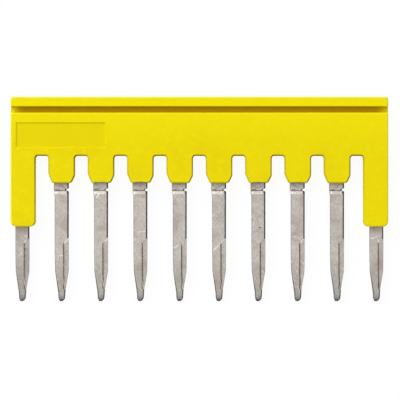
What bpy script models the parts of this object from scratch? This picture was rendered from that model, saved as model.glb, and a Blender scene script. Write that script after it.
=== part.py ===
"""Ten-pole plug-in jumper bar for rail-mounted terminal blocks.

The bar lies flat on its back. X runs along the row of pins, Y points to the edge
that a thumb pushes when the bar is plugged in, and Z points to the front face.
The origin is under the middle of the bar, on its back face. All sizes are metres.
"""

import math

import bmesh
import bpy
from mathutils import Matrix, Vector

# Row of poles
POLE_COUNT = 10
POLE_PITCH = 0.0061

# Stamped contact comb, halfway through the body's thickness
COMB_THICKNESS = 0.001
COMB_CLEARANCE = 0.0003
SPINE_HEIGHT = 0.00495
SPINE_CORNER_RADIUS = 0.0005
NECK_WIDTH = 0.00235
NECK_STEP_LENGTH = 0.00035
BLADE_TOP_WIDTH = 0.00223
BLADE_LOW_WIDTH = 0.0021
PIN_REACH = 0.01156
PIN_EDGE_BEVEL = 0.00021
TAPER_TO_PIN_END = 0.00471
TIP_LENGTH = 0.00068
TIP_WIDTH = 0.00117
PIN_END_WIDTH = 0.0004
PIN_END_OFFSET = -0.00008
COINED_LENGTH = 0.00126
COINED_END_THICKNESS = 0.0005

# Moulded body: walls round the comb's pocket, legs and roundings
POCKET_FACE_WALL = 0.0007
POCKET_END_WALL = 0.000325
LEG_SIDE_WALL = 0.000575
POCKET_TO_SLOT_WALL = 0.00063
INNER_LEG_LENGTH = 0.00423
INNER_LEG_CHAMFER_WIDTH = 0.00062
INNER_LEG_CHAMFER_LENGTH = 0.00145
INNER_LEG_SHOULDER_RADIUS = 0.0012
INNER_LEG_END_RADIUS = 0.00045
OUTER_LEG_EXTRA_LENGTH = 0.00674
OUTER_LEG_CORNER_RADIUS = 0.00085
SLOT_CORNER_RADIUS = 0.0004
BODY_CORNER_RADIUS = 0.0004
BODY_EDGE_ROUNDING = 0.0002

# Screwdriver groove along the front face
GROOVE_BELOW_EDGE = 0.00147
GROOVE_HEIGHT = 0.00095
GROOVE_TO_POCKET_WALL = 0.00053
GROOVE_CUT_IN = 0.0014
GROOVE_UPPER_LIP = 0.0001
GROOVE_LOWER_LIP = 0.0003

# Bare marking field on the front face
FIELD_LENGTH = 0.01393
FIELD_HEIGHT = 0.00387
FIELD_FROM_END = 0.00081
FIELD_BELOW_GROOVE = 0.00161
FIELD_RECESS = 0.00015
FIELD_WALL_DRAFT = 0.00012

# Break-off score across both faces of each inner pin, with a nick in one edge
SCORE_BELOW_LEG = 0.0011
SCORE_CUT_IN = 0.00026
SCORE_SLOPE_LENGTH = 0.00058
SCORE_WALL_DRAFT = 0.00004
NECK_BELOW_SCORE = 0.00046
NICK_ABOVE_SCORE = 0.0001
NICK_CUT_IN = 0.0003
NICK_HEIGHT = 0.00034

# Slit that parts each pin into a front leg and a shorter rear leg
SLIT_BELOW_LEG = 0.00267
SLIT_OFFSET = 0.00033
SLIT_WIDTH = 0.00006
SLIT_LEAN = 0.1
SLIT_STRAIGHT_LENGTH = 0.00403
SLIT_SLANT = 0.088
REAR_LEG_SHORTER = 0.00226
SHOULDER_LENGTH = 0.00055

# Bends that spread the two legs out of the comb's plane
FRONT_LEG_OFFSET = 0.00024
FRONT_BEND_LENGTH = 0.00153
FRONT_RETURN_LENGTH = 0.0024
FRONT_MEET_TO_PIN_END = 0.00146
REAR_LEG_OFFSET = 0.00034
REAR_BEND_LENGTH = 0.0006
REAR_BEND_RISE = 0.00101
REAR_RETURN_LENGTH = 0.0019
REAR_END_OFFSET = 0.0001
BEND_STEPS = 3

# Facets for a quarter turn of a rounded corner
CORNER_STEPS = 6
CUT_MARGIN = 0.001

BODY_COLOUR = (0.839, 0.700, 0.003, 1.0)
COMB_COLOUR = (0.552, 0.509, 0.462, 1.0)

# Sizes that follow from the walls, clearances and lengths above
BODY_THICKNESS = COMB_THICKNESS + 2 * (COMB_CLEARANCE + POCKET_FACE_WALL)
POCKET_WIDTH = NECK_WIDTH + 2 * COMB_CLEARANCE
LEG_WIDTH = POCKET_WIDTH + 2 * LEG_SIDE_WALL
SLOT_WIDTH = POLE_PITCH - LEG_WIDTH
HALF_LENGTH = (POLE_COUNT - 1) * POLE_PITCH / 2 + POCKET_WIDTH / 2 + POCKET_END_WALL
COMB_MIDDLE_Z = BODY_THICKNESS / 2
HALF_COMB = COMB_THICKNESS / 2
SLIT_EDGE = SLIT_OFFSET + SLIT_WIDTH / 2

# Depths below the push edge, from the top down
GROOVE_LOW_DEPTH = GROOVE_BELOW_EDGE + GROOVE_HEIGHT
FIELD_TOP_DEPTH = GROOVE_LOW_DEPTH + FIELD_BELOW_GROOVE
POCKET_TOP_DEPTH = GROOVE_LOW_DEPTH + GROOVE_TO_POCKET_WALL
SPINE_TOP_DEPTH = POCKET_TOP_DEPTH + COMB_CLEARANCE
SPINE_LOW_DEPTH = SPINE_TOP_DEPTH + SPINE_HEIGHT
POCKET_LOW_DEPTH = SPINE_LOW_DEPTH + COMB_CLEARANCE
SLOT_TOP_DEPTH = POCKET_LOW_DEPTH + POCKET_TO_SLOT_WALL
INNER_LEG_DEPTH = SLOT_TOP_DEPTH + INNER_LEG_LENGTH
SCORE_DEPTH = INNER_LEG_DEPTH + SCORE_BELOW_LEG
NICK_DEPTH = SCORE_DEPTH - NICK_ABOVE_SCORE
NECK_LOW_DEPTH = SCORE_DEPTH + NECK_BELOW_SCORE
OUTER_LEG_DEPTH = INNER_LEG_DEPTH + OUTER_LEG_EXTRA_LENGTH
SLIT_TOP_DEPTH = OUTER_LEG_DEPTH + SLIT_BELOW_LEG
SLIT_KINK_DEPTH = SLIT_TOP_DEPTH + SLIT_STRAIGHT_LENGTH
PIN_END_DEPTH = OUTER_LEG_DEPTH + PIN_REACH
TAPER_TOP_DEPTH = PIN_END_DEPTH - TAPER_TO_PIN_END
REAR_LEG_END_DEPTH = PIN_END_DEPTH - REAR_LEG_SHORTER
SHOULDER_DEPTH = REAR_LEG_END_DEPTH + SHOULDER_LENGTH
FRONT_MEET_DEPTH = PIN_END_DEPTH - FRONT_MEET_TO_PIN_END
COINED_TOP_DEPTH = PIN_END_DEPTH - COINED_LENGTH
TIP_DEPTH = PIN_END_DEPTH - TIP_LENGTH
PUSH_EDGE_Y = PIN_END_DEPTH / 2

# Local X, Y and Z of a profile that is extruded along the bar: world Y, Z and X
ALONG_BAR = Matrix(((0, 0, 1, 0), (1, 0, 0, 0), (0, 1, 0, 0), (0, 0, 0, 1)))


def y_at(depth):
    """World Y of a depth below the push edge."""
    return PUSH_EDGE_Y - depth


def depth_at(y):
    """Depth below the push edge of a world Y."""
    return PUSH_EDGE_Y - y


def pole_x(index):
    """World X of the pin with this index, counted from the left."""
    return (index - (POLE_COUNT - 1) / 2) * POLE_PITCH


def is_outer(index):
    """Whether the pole is the first or the last one."""
    return index in (0, POLE_COUNT - 1)


def new_collection(name):
    collection = bpy.data.collections.new(name)
    bpy.context.scene.collection.children.link(collection)
    return collection


def new_material(name, colour, roughness, metallic):
    material = bpy.data.materials.new(name)
    material.use_nodes = True
    shader = material.node_tree.nodes["Principled BSDF"]
    shader.inputs["Base Color"].default_value = colour
    shader.inputs["Roughness"].default_value = roughness
    shader.inputs["Metallic"].default_value = metallic
    material.diffuse_color = colour
    return material


def rounded_outline(corners):
    """Points of a closed outline whose (x, y, radius) corners are turned into arcs."""
    points = []
    for index, (x, y, radius) in enumerate(corners):
        corner = Vector((x, y))
        before = Vector(corners[index - 1][:2]) - corner
        after = Vector(corners[(index + 1) % len(corners)][:2]) - corner
        turn = math.pi - before.angle(after)
        if radius == 0 or turn < 0.01:
            points.append(corner)
            continue
        reach = radius * math.tan(turn / 2)
        middle = (before.normalized() + after.normalized()).normalized()
        centre = corner + middle * (radius / math.cos(turn / 2))
        start = corner + before.normalized() * reach - centre
        side = 1 if before.cross(after) < 0 else -1
        steps = max(1, round(CORNER_STEPS * turn / (math.pi / 2)))
        for step in range(steps + 1):
            angle = side * turn * step / steps
            points.append(centre + Matrix.Rotation(angle, 2) @ start)
    return points


def prism(name, outline, low, high, collection, axes=None):
    """Mesh object: a flat outline extruded from low to high along its third axis."""
    curve = bpy.data.curves.new(name, "CURVE")
    curve.dimensions = "2D"
    curve.fill_mode = "BOTH"
    curve.extrude = (high - low) / 2
    spline = curve.splines.new("POLY")
    spline.points.add(len(outline) - 1)
    for point, (x, y) in zip(spline.points, outline):
        point.co = (x, y, 0, 1)
    spline.use_cyclic_u = True
    guide = bpy.data.objects.new(name + "_outline", curve)
    collection.objects.link(guide)
    guide.matrix_world = (axes or Matrix()) @ Matrix.Translation((0, 0, (low + high) / 2))
    bpy.context.view_layer.update()
    evaluated = guide.evaluated_get(bpy.context.evaluated_depsgraph_get())
    mesh = bpy.data.meshes.new_from_object(evaluated)
    bm = bmesh.new()
    bm.from_mesh(mesh)
    bmesh.ops.remove_doubles(bm, verts=bm.verts, dist=1e-7)
    for side in (1, -1):
        cap = [face for face in bm.faces if all(vert.co.z * side > 0 for vert in face.verts)]
        bmesh.ops.dissolve_faces(bm, faces=cap)
    bmesh.ops.recalc_face_normals(bm, faces=bm.faces)
    bm.to_mesh(mesh)
    bm.free()
    mesh.transform(guide.matrix_world)
    bpy.data.objects.remove(guide)
    mesh.name = name
    obj = bpy.data.objects.new(name, mesh)
    collection.objects.link(obj)
    return obj


def joined(name, pieces, collection):
    """One cutter object made of several pieces that don't touch each other."""
    bm = bmesh.new()
    for piece in pieces:
        bm.from_mesh(piece.data)
        bpy.data.objects.remove(piece)
    mesh = bpy.data.meshes.new(name)
    bm.to_mesh(mesh)
    bm.free()
    obj = bpy.data.objects.new(name, mesh)
    collection.objects.link(obj)
    return obj


def round_rims(obj, width, segments):
    """Bevel the edges where the front and back faces meet the side walls."""
    bm = bmesh.new()
    bm.from_mesh(obj.data)
    rims = []
    for edge in bm.edges:
        flat = [abs(face.normal.z) > 0.9 for face in edge.link_faces]
        if len(flat) == 2 and flat[0] != flat[1]:
            rims.append(edge)
    bmesh.ops.bevel(
        bm,
        geom=rims,
        offset=width,
        offset_type="OFFSET",
        segments=segments,
        profile=0.5,
        affect="EDGES",
        clamp_overlap=False,
    )
    bm.to_mesh(obj.data)
    bm.free()


def cut(obj, cutter):
    """Boolean difference that stays on the object as a modifier."""
    cutter.hide_render = True
    cutter.display_type = "WIRE"
    modifier = obj.modifiers.new("cut_" + cutter.name, "BOOLEAN")
    modifier.operation = "DIFFERENCE"
    modifier.solver = "EXACT"
    modifier.object = cutter


def apply_modifiers(obj):
    bpy.context.view_layer.update()
    evaluated = obj.evaluated_get(bpy.context.evaluated_depsgraph_get())
    mesh = bpy.data.meshes.new_from_object(evaluated)
    obj.modifiers.clear()
    obj.data = mesh


def body_outline():
    """Outline of the moulded body: a bar with one leg for each pole."""
    leg_reach = LEG_WIDTH / 2
    slot_radius = min(SLOT_CORNER_RADIUS, SLOT_WIDTH * 0.45)
    corners = [
        (-HALF_LENGTH, y_at(0), BODY_CORNER_RADIUS),
        (HALF_LENGTH, y_at(0), BODY_CORNER_RADIUS),
    ]
    for index in reversed(range(POLE_COUNT)):
        centre = pole_x(index)
        right = HALF_LENGTH if index == POLE_COUNT - 1 else centre + leg_reach
        left = -HALF_LENGTH if index == 0 else centre - leg_reach
        if index < POLE_COUNT - 1:
            corners.append((right, y_at(SLOT_TOP_DEPTH), slot_radius))
        if is_outer(index):
            corners.append((right, y_at(OUTER_LEG_DEPTH), OUTER_LEG_CORNER_RADIUS))
            corners.append((left, y_at(OUTER_LEG_DEPTH), OUTER_LEG_CORNER_RADIUS))
        else:
            shoulder = y_at(INNER_LEG_DEPTH - INNER_LEG_CHAMFER_LENGTH)
            end = y_at(INNER_LEG_DEPTH)
            inset = INNER_LEG_CHAMFER_WIDTH
            corners.append((right, shoulder, INNER_LEG_SHOULDER_RADIUS))
            corners.append((right - inset, end, INNER_LEG_END_RADIUS))
            corners.append((left + inset, end, INNER_LEG_END_RADIUS))
            corners.append((left, shoulder, INNER_LEG_SHOULDER_RADIUS))
        if index > 0:
            corners.append((left, y_at(SLOT_TOP_DEPTH), slot_radius))
    return rounded_outline(corners)


def groove_profile():
    """Section of the groove in (y, z), flared at its two lips."""
    front = BODY_THICKNESS
    bottom = front - GROOVE_CUT_IN
    top_y = y_at(GROOVE_BELOW_EDGE)
    low_y = y_at(GROOVE_LOW_DEPTH)
    points = [(low_y, bottom), (top_y, bottom)]
    for step in range(CORNER_STEPS + 1):
        angle = math.pi / 2 * step / CORNER_STEPS
        y = top_y + GROOVE_UPPER_LIP * (1 - math.cos(angle))
        z = front - GROOVE_UPPER_LIP * (1 - math.sin(angle))
        points.append((y, z))
    points.append((top_y + GROOVE_UPPER_LIP, front + CUT_MARGIN))
    points.append((low_y - GROOVE_LOWER_LIP, front + CUT_MARGIN))
    for step in range(CORNER_STEPS + 1):
        angle = math.pi / 2 * step / CORNER_STEPS
        y = low_y - GROOVE_LOWER_LIP * (1 - math.sin(angle))
        z = front - GROOVE_LOWER_LIP * (1 - math.cos(angle))
        points.append((y, z))
    return points


def field_cutter(collection):
    """Shallow tray whose four walls lean outwards by the wall draft."""
    bm = bmesh.new()
    bmesh.ops.create_cube(bm, size=1)
    rise = FIELD_RECESS + CUT_MARGIN
    flare = FIELD_WALL_DRAFT * rise / FIELD_RECESS
    for vert in bm.verts:
        top = vert.co.z > 0
        vert.co.x *= FIELD_LENGTH - 2 * FIELD_WALL_DRAFT + (2 * flare if top else 0)
        vert.co.y *= FIELD_HEIGHT - 2 * FIELD_WALL_DRAFT + (2 * flare if top else 0)
        vert.co.z = rise if top else 0
    mesh = bpy.data.meshes.new("marking_field_cutter")
    bm.to_mesh(mesh)
    bm.free()
    mesh.transform(
        Matrix.Translation(
            (
                -HALF_LENGTH + FIELD_FROM_END + FIELD_LENGTH / 2,
                y_at(FIELD_TOP_DEPTH + FIELD_HEIGHT / 2),
                BODY_THICKNESS - FIELD_RECESS,
            )
        )
    )
    obj = bpy.data.objects.new("marking_field_cutter", mesh)
    collection.objects.link(obj)
    return obj


def cavity_outline():
    """Pocket that the comb slides into: its spine and necks with clearance."""
    half_neck = POCKET_WIDTH / 2
    top = y_at(POCKET_TOP_DEPTH)
    under_spine = y_at(POCKET_LOW_DEPTH)
    end = pole_x(POLE_COUNT - 1) + half_neck
    corners = [(-end, top, 0), (end, top, 0)]
    for index in reversed(range(POLE_COUNT)):
        centre = pole_x(index)
        leg_depth = OUTER_LEG_DEPTH if is_outer(index) else INNER_LEG_DEPTH
        mouth = y_at(leg_depth + CUT_MARGIN)
        if index < POLE_COUNT - 1:
            corners.append((centre + half_neck, under_spine, 0))
        corners.append((centre + half_neck, mouth, 0))
        corners.append((centre - half_neck, mouth, 0))
        if index > 0:
            corners.append((centre - half_neck, under_spine, 0))
    return rounded_outline(corners)


def comb_outline():
    """Blank of the comb: the spine and ten pointed pins, before slits and bends."""
    half_neck = NECK_WIDTH / 2
    end = pole_x(POLE_COUNT - 1) + half_neck
    under_spine = y_at(SPINE_LOW_DEPTH)
    corners = [
        (-end, y_at(SPINE_TOP_DEPTH), SPINE_CORNER_RADIUS),
        (end, y_at(SPINE_TOP_DEPTH), SPINE_CORNER_RADIUS),
    ]
    right_side = [
        (half_neck, NECK_LOW_DEPTH),
        (BLADE_TOP_WIDTH / 2, NECK_LOW_DEPTH + NECK_STEP_LENGTH),
        (BLADE_LOW_WIDTH / 2, TAPER_TOP_DEPTH),
        (TIP_WIDTH / 2, TIP_DEPTH),
    ]
    for index in reversed(range(POLE_COUNT)):
        centre = pole_x(index)
        if index < POLE_COUNT - 1:
            corners.append((centre + half_neck, under_spine, SPINE_CORNER_RADIUS))
        for x, depth in right_side:
            corners.append((centre + x, y_at(depth), 0))
        for x in (PIN_END_WIDTH / 2, -PIN_END_WIDTH / 2):
            corners.append((centre + PIN_END_OFFSET + x, y_at(PIN_END_DEPTH), 0))
        for x, depth in reversed(right_side):
            corners.append((centre - x, y_at(depth), 0))
        if index > 0:
            corners.append((centre - half_neck, under_spine, SPINE_CORNER_RADIUS))
    return rounded_outline(corners)


def score_wedges(collection):
    """Wedges across both faces of each inner pin: a steep wall and a long slope."""
    pieces = []
    half_width = NECK_WIDTH / 2 + CUT_MARGIN
    for index in range(POLE_COUNT):
        if is_outer(index):
            continue
        for side in (1, -1):
            face = COMB_MIDDLE_Z + side * HALF_COMB
            root = face - side * SCORE_CUT_IN
            over = face + side * SCORE_CUT_IN
            steep = y_at(SCORE_DEPTH)
            far = y_at(SCORE_DEPTH + SCORE_SLOPE_LENGTH)
            beyond = y_at(SCORE_DEPTH + 2 * SCORE_SLOPE_LENGTH)
            profile = [
                (steep - SCORE_WALL_DRAFT, root),
                (steep, face),
                (steep, over),
                (beyond, over),
                (far, face),
            ]
            centre = pole_x(index)
            pieces.append(
                prism(
                    "score_wedge",
                    profile,
                    centre - half_width,
                    centre + half_width,
                    collection,
                    ALONG_BAR,
                )
            )
    return pieces


def nick_cutters(collection):
    """Small vee nicks in the right edge of each inner pin, at its score."""
    pieces = []
    half_neck = NECK_WIDTH / 2
    for index in range(POLE_COUNT):
        if is_outer(index):
            continue
        edge = pole_x(index) + half_neck
        flare = NICK_HEIGHT / 2 * (1 + CUT_MARGIN / NICK_CUT_IN)
        vee = [
            (edge - NICK_CUT_IN, y_at(NICK_DEPTH)),
            (edge + CUT_MARGIN, y_at(NICK_DEPTH + flare)),
            (edge + CUT_MARGIN, y_at(NICK_DEPTH - flare)),
        ]
        low = COMB_MIDDLE_Z - COMB_THICKNESS
        high = COMB_MIDDLE_Z + COMB_THICKNESS
        pieces.append(prism("nick_vee", vee, low, high, collection))
    return joined("nick_cutters", pieces, collection)


def slit_x(depth):
    """Distance of the slit's middle from the pin's middle at a depth, halfway through."""
    return SLIT_OFFSET + SLIT_SLANT * max(0.0, depth - SLIT_KINK_DEPTH)


def slit_blades(collection):
    """Slits that run out through the right taper and free the end of the rear leg.

    Each cut leans a little, so that seen from the front the front leg covers it.
    """
    half = SLIT_WIDTH / 2
    outside = BLADE_LOW_WIDTH / 2
    path = [
        (slit_x(SLIT_TOP_DEPTH) - half, SLIT_TOP_DEPTH),
        (slit_x(SLIT_TOP_DEPTH) + half, SLIT_TOP_DEPTH),
        (slit_x(SLIT_KINK_DEPTH) + half, SLIT_KINK_DEPTH),
        (slit_x(REAR_LEG_END_DEPTH) + half, REAR_LEG_END_DEPTH),
        (outside, REAR_LEG_END_DEPTH + half),
        (outside, SHOULDER_DEPTH),
        (slit_x(SHOULDER_DEPTH) - half, SHOULDER_DEPTH),
        (slit_x(SLIT_KINK_DEPTH) - half, SLIT_KINK_DEPTH),
    ]
    low = COMB_MIDDLE_Z - COMB_THICKNESS
    high = COMB_MIDDLE_Z + COMB_THICKNESS
    pieces = []
    for index in range(POLE_COUNT):
        outline = [(pole_x(index) + x, y_at(depth)) for x, depth in path]
        blade = prism("slit", outline, low, high, collection)
        for vert in blade.data.vertices:
            vert.co.x += SLIT_LEAN * (vert.co.z - COMB_MIDDLE_Z)
        pieces.append(blade)
    return pieces


def rear_bend_slope():
    """Slant of the line along which the rear leg starts to bend."""
    return REAR_BEND_RISE / (BLADE_LOW_WIDTH / 2 - SLIT_EDGE)


def smooth_ramp(value, start, end):
    """Zero before start, one after end, and an S-shaped rise between them."""
    share = min(1.0, max(0.0, (value - start) / (end - start)))
    return share * share * (3 - 2 * share)


def leg_offset(x, depth):
    """How far a point of a pin, x off its middle, is bent out of the comb's plane.

    The x is that of the point's foot, where the slit's lean has been taken off.
    """
    past_rear_leg = depth > (REAR_LEG_END_DEPTH + SHOULDER_DEPTH) / 2
    if depth > SLIT_TOP_DEPTH and (x < slit_x(depth) or past_rear_leg):
        out = smooth_ramp(depth, SLIT_TOP_DEPTH, SLIT_TOP_DEPTH + FRONT_BEND_LENGTH)
        home = smooth_ramp(depth, FRONT_MEET_DEPTH - FRONT_RETURN_LENGTH, FRONT_MEET_DEPTH)
        return FRONT_LEG_OFFSET * (out - home)
    past_root = depth - SLIT_TOP_DEPTH + rear_bend_slope() * (x - SLIT_EDGE)
    out = smooth_ramp(past_root, 0.0, REAR_BEND_LENGTH)
    home = smooth_ramp(depth, REAR_LEG_END_DEPTH - REAR_RETURN_LENGTH, REAR_LEG_END_DEPTH)
    return -REAR_LEG_OFFSET * out + (REAR_LEG_OFFSET - REAR_END_OFFSET) * home


def bend_depths():
    """Depths of the level lines across a pin between which its bends are straight."""
    spans = (
        (SLIT_TOP_DEPTH, SLIT_TOP_DEPTH + FRONT_BEND_LENGTH),
        (FRONT_MEET_DEPTH - FRONT_RETURN_LENGTH, FRONT_MEET_DEPTH),
        (REAR_LEG_END_DEPTH - REAR_RETURN_LENGTH, REAR_LEG_END_DEPTH),
    )
    depths = {OUTER_LEG_DEPTH, COINED_TOP_DEPTH}
    for start, end in spans:
        for step in range(BEND_STEPS + 1):
            depths.add(start + (end - start) * step / BEND_STEPS)
    return sorted(depths)


def slice_faces(bm, faces, point, normal):
    edges = {edge for face in faces for edge in face.edges}
    verts = {vert for face in faces for vert in face.verts}
    bmesh.ops.bisect_plane(
        bm,
        geom=list(verts) + list(edges) + list(faces),
        dist=1e-8,
        plane_co=point,
        plane_no=normal,
    )


def bend_legs(obj):
    """Bend the slit pins: front leg forward, rear leg back, point coined thinner."""
    bm = bmesh.new()
    bm.from_mesh(obj.data)
    for depth in bend_depths():
        slice_faces(bm, list(bm.faces), (0, y_at(depth), 0), (0, 1, 0))
    slant = Vector((rear_bend_slope(), -1, 0)).normalized()
    for index in range(POLE_COUNT):
        centre = pole_x(index)
        for step in range(BEND_STEPS + 1):
            near = [
                face
                for face in bm.faces
                if abs(face.calc_center_median().x - centre) < NECK_WIDTH / 2
                and max(vert.co.y for vert in face.verts) < y_at(OUTER_LEG_DEPTH) + 1e-7
                and max(vert.co.y for vert in face.verts) > y_at(SLIT_KINK_DEPTH)
            ]
            drop = REAR_BEND_LENGTH * step / BEND_STEPS
            slice_faces(bm, near, (centre + SLIT_EDGE, y_at(SLIT_TOP_DEPTH + drop), 0), slant)
    thinning = 1 - COINED_END_THICKNESS / COMB_THICKNESS
    for vert in bm.verts:
        depth = depth_at(vert.co.y)
        if depth < NECK_LOW_DEPTH:
            continue
        index = round(vert.co.x / POLE_PITCH + (POLE_COUNT - 1) / 2)
        coined = min(1.0, max(0.0, (depth - COINED_TOP_DEPTH) / COINED_LENGTH))
        lift = vert.co.z - COMB_MIDDLE_Z
        foot = vert.co.x - pole_x(index) - SLIT_LEAN * lift
        vert.co.z = COMB_MIDDLE_Z + lift * (1 - thinning * coined) + leg_offset(foot, depth)
    bmesh.ops.recalc_face_normals(bm, faces=bm.faces)
    bm.to_mesh(obj.data)
    bm.free()


def build_body(parts, cutters):
    body = prism("insulating_body", body_outline(), 0, BODY_THICKNESS, parts)
    round_rims(body, BODY_EDGE_ROUNDING, 2)
    reach = HALF_LENGTH + CUT_MARGIN
    cut(body, prism("groove_cutter", groove_profile(), -reach, reach, cutters, ALONG_BAR))
    cut(body, field_cutter(cutters))
    half_pocket = HALF_COMB + COMB_CLEARANCE
    cavity = prism(
        "comb_cavity_cutter",
        cavity_outline(),
        COMB_MIDDLE_Z - half_pocket,
        COMB_MIDDLE_Z + half_pocket,
        cutters,
    )
    cut(body, cavity)
    body.data.materials.append(new_material("yellow_moulding", BODY_COLOUR, 0.42, 0.0))
    return body


def build_comb(parts, cutters):
    low = COMB_MIDDLE_Z - HALF_COMB
    high = COMB_MIDDLE_Z + HALF_COMB
    comb = prism("contact_comb", comb_outline(), low, high, parts)
    round_rims(comb, PIN_EDGE_BEVEL, 1)
    cut(comb, nick_cutters(cutters))
    punches = score_wedges(cutters) + slit_blades(cutters)
    cut(comb, joined("score_and_slit_cutters", punches, cutters))
    apply_modifiers(comb)
    bend_legs(comb)
    comb.data.materials.clear()
    comb.data.materials.append(new_material("tin_plate", COMB_COLOUR, 0.34, 1.0))
    return comb


def main():
    for obj in list(bpy.data.objects):
        bpy.data.objects.remove(obj)
    parts = new_collection("terminal_block_jumper_bar")
    cutters = new_collection("cutters")
    for obj in (build_body(parts, cutters), build_comb(parts, cutters)):
        obj.data.shade_smooth()
        obj.data.set_sharp_from_angle(angle=math.radians(30))


main()
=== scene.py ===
"""Visual model of a ten-pole plug-in jumper bar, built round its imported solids.

The bar lies on its back on a pale floor. X runs along the row of pins, Y points to the
edge that a thumb pushes, and Z points to the front face. All lengths are metres.
"""

import logging
import math
from collections.abc import Callable
from dataclasses import dataclass
from enum import Enum
from typing import ClassVar

import bmesh
import bpy
from mathutils import Matrix, Vector


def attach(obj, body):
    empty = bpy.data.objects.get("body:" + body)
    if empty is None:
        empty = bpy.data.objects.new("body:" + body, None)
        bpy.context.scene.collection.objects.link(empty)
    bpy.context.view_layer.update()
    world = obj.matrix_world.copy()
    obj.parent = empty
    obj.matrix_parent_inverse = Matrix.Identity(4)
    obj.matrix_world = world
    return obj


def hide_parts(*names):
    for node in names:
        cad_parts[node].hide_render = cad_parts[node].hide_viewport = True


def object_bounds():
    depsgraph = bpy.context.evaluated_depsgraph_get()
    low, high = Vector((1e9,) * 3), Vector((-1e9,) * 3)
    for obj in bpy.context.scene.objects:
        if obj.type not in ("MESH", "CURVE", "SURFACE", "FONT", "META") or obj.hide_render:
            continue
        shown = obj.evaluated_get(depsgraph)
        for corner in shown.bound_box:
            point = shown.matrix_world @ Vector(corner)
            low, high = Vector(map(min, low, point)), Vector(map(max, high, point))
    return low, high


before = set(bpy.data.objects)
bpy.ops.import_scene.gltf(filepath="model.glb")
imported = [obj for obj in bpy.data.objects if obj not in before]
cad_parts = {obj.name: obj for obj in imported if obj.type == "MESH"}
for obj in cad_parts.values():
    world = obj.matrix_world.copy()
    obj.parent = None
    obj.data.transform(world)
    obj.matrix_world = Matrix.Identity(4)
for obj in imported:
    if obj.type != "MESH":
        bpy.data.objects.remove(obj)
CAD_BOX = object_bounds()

LOG = logging.getLogger("jumper_bar")
MM = 0.001
BODY = "root"
POLE_COUNT = 10
POLE_PITCH = 6.1 * MM
FRONT_Z = CAD_BOX[1].z
PUSH_EDGE_Y = CAD_BOX[1].y
HALF_LENGTH = CAD_BOX[1].x
COMB_MIDDLE_Z = FRONT_Z / 2
INNER_POLES = tuple(range(1, POLE_COUNT - 1))
OUTER_POLES = (0, POLE_COUNT - 1)
HAIR = 0.001 * MM
WHITE = (1.0, 1.0, 1.0, 1.0)

Socket = bpy.types.NodeSocket
Value = Socket | float | tuple


def y_at(depth: float) -> float:
    """World Y of a depth below the push edge."""
    return PUSH_EDGE_Y - depth


def pole_x(index: int) -> float:
    """World X of the pin with this index, counted from the left."""
    return (index - (POLE_COUNT - 1) / 2) * POLE_PITCH


def smooth_ramp(value: float, start: float, end: float) -> float:
    """Zero before start, one after end, and an S-shaped rise between them."""
    share = min(1.0, max(0.0, (value - start) / (end - start)))
    return share * share * (3 - 2 * share)


# Node trees


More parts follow.
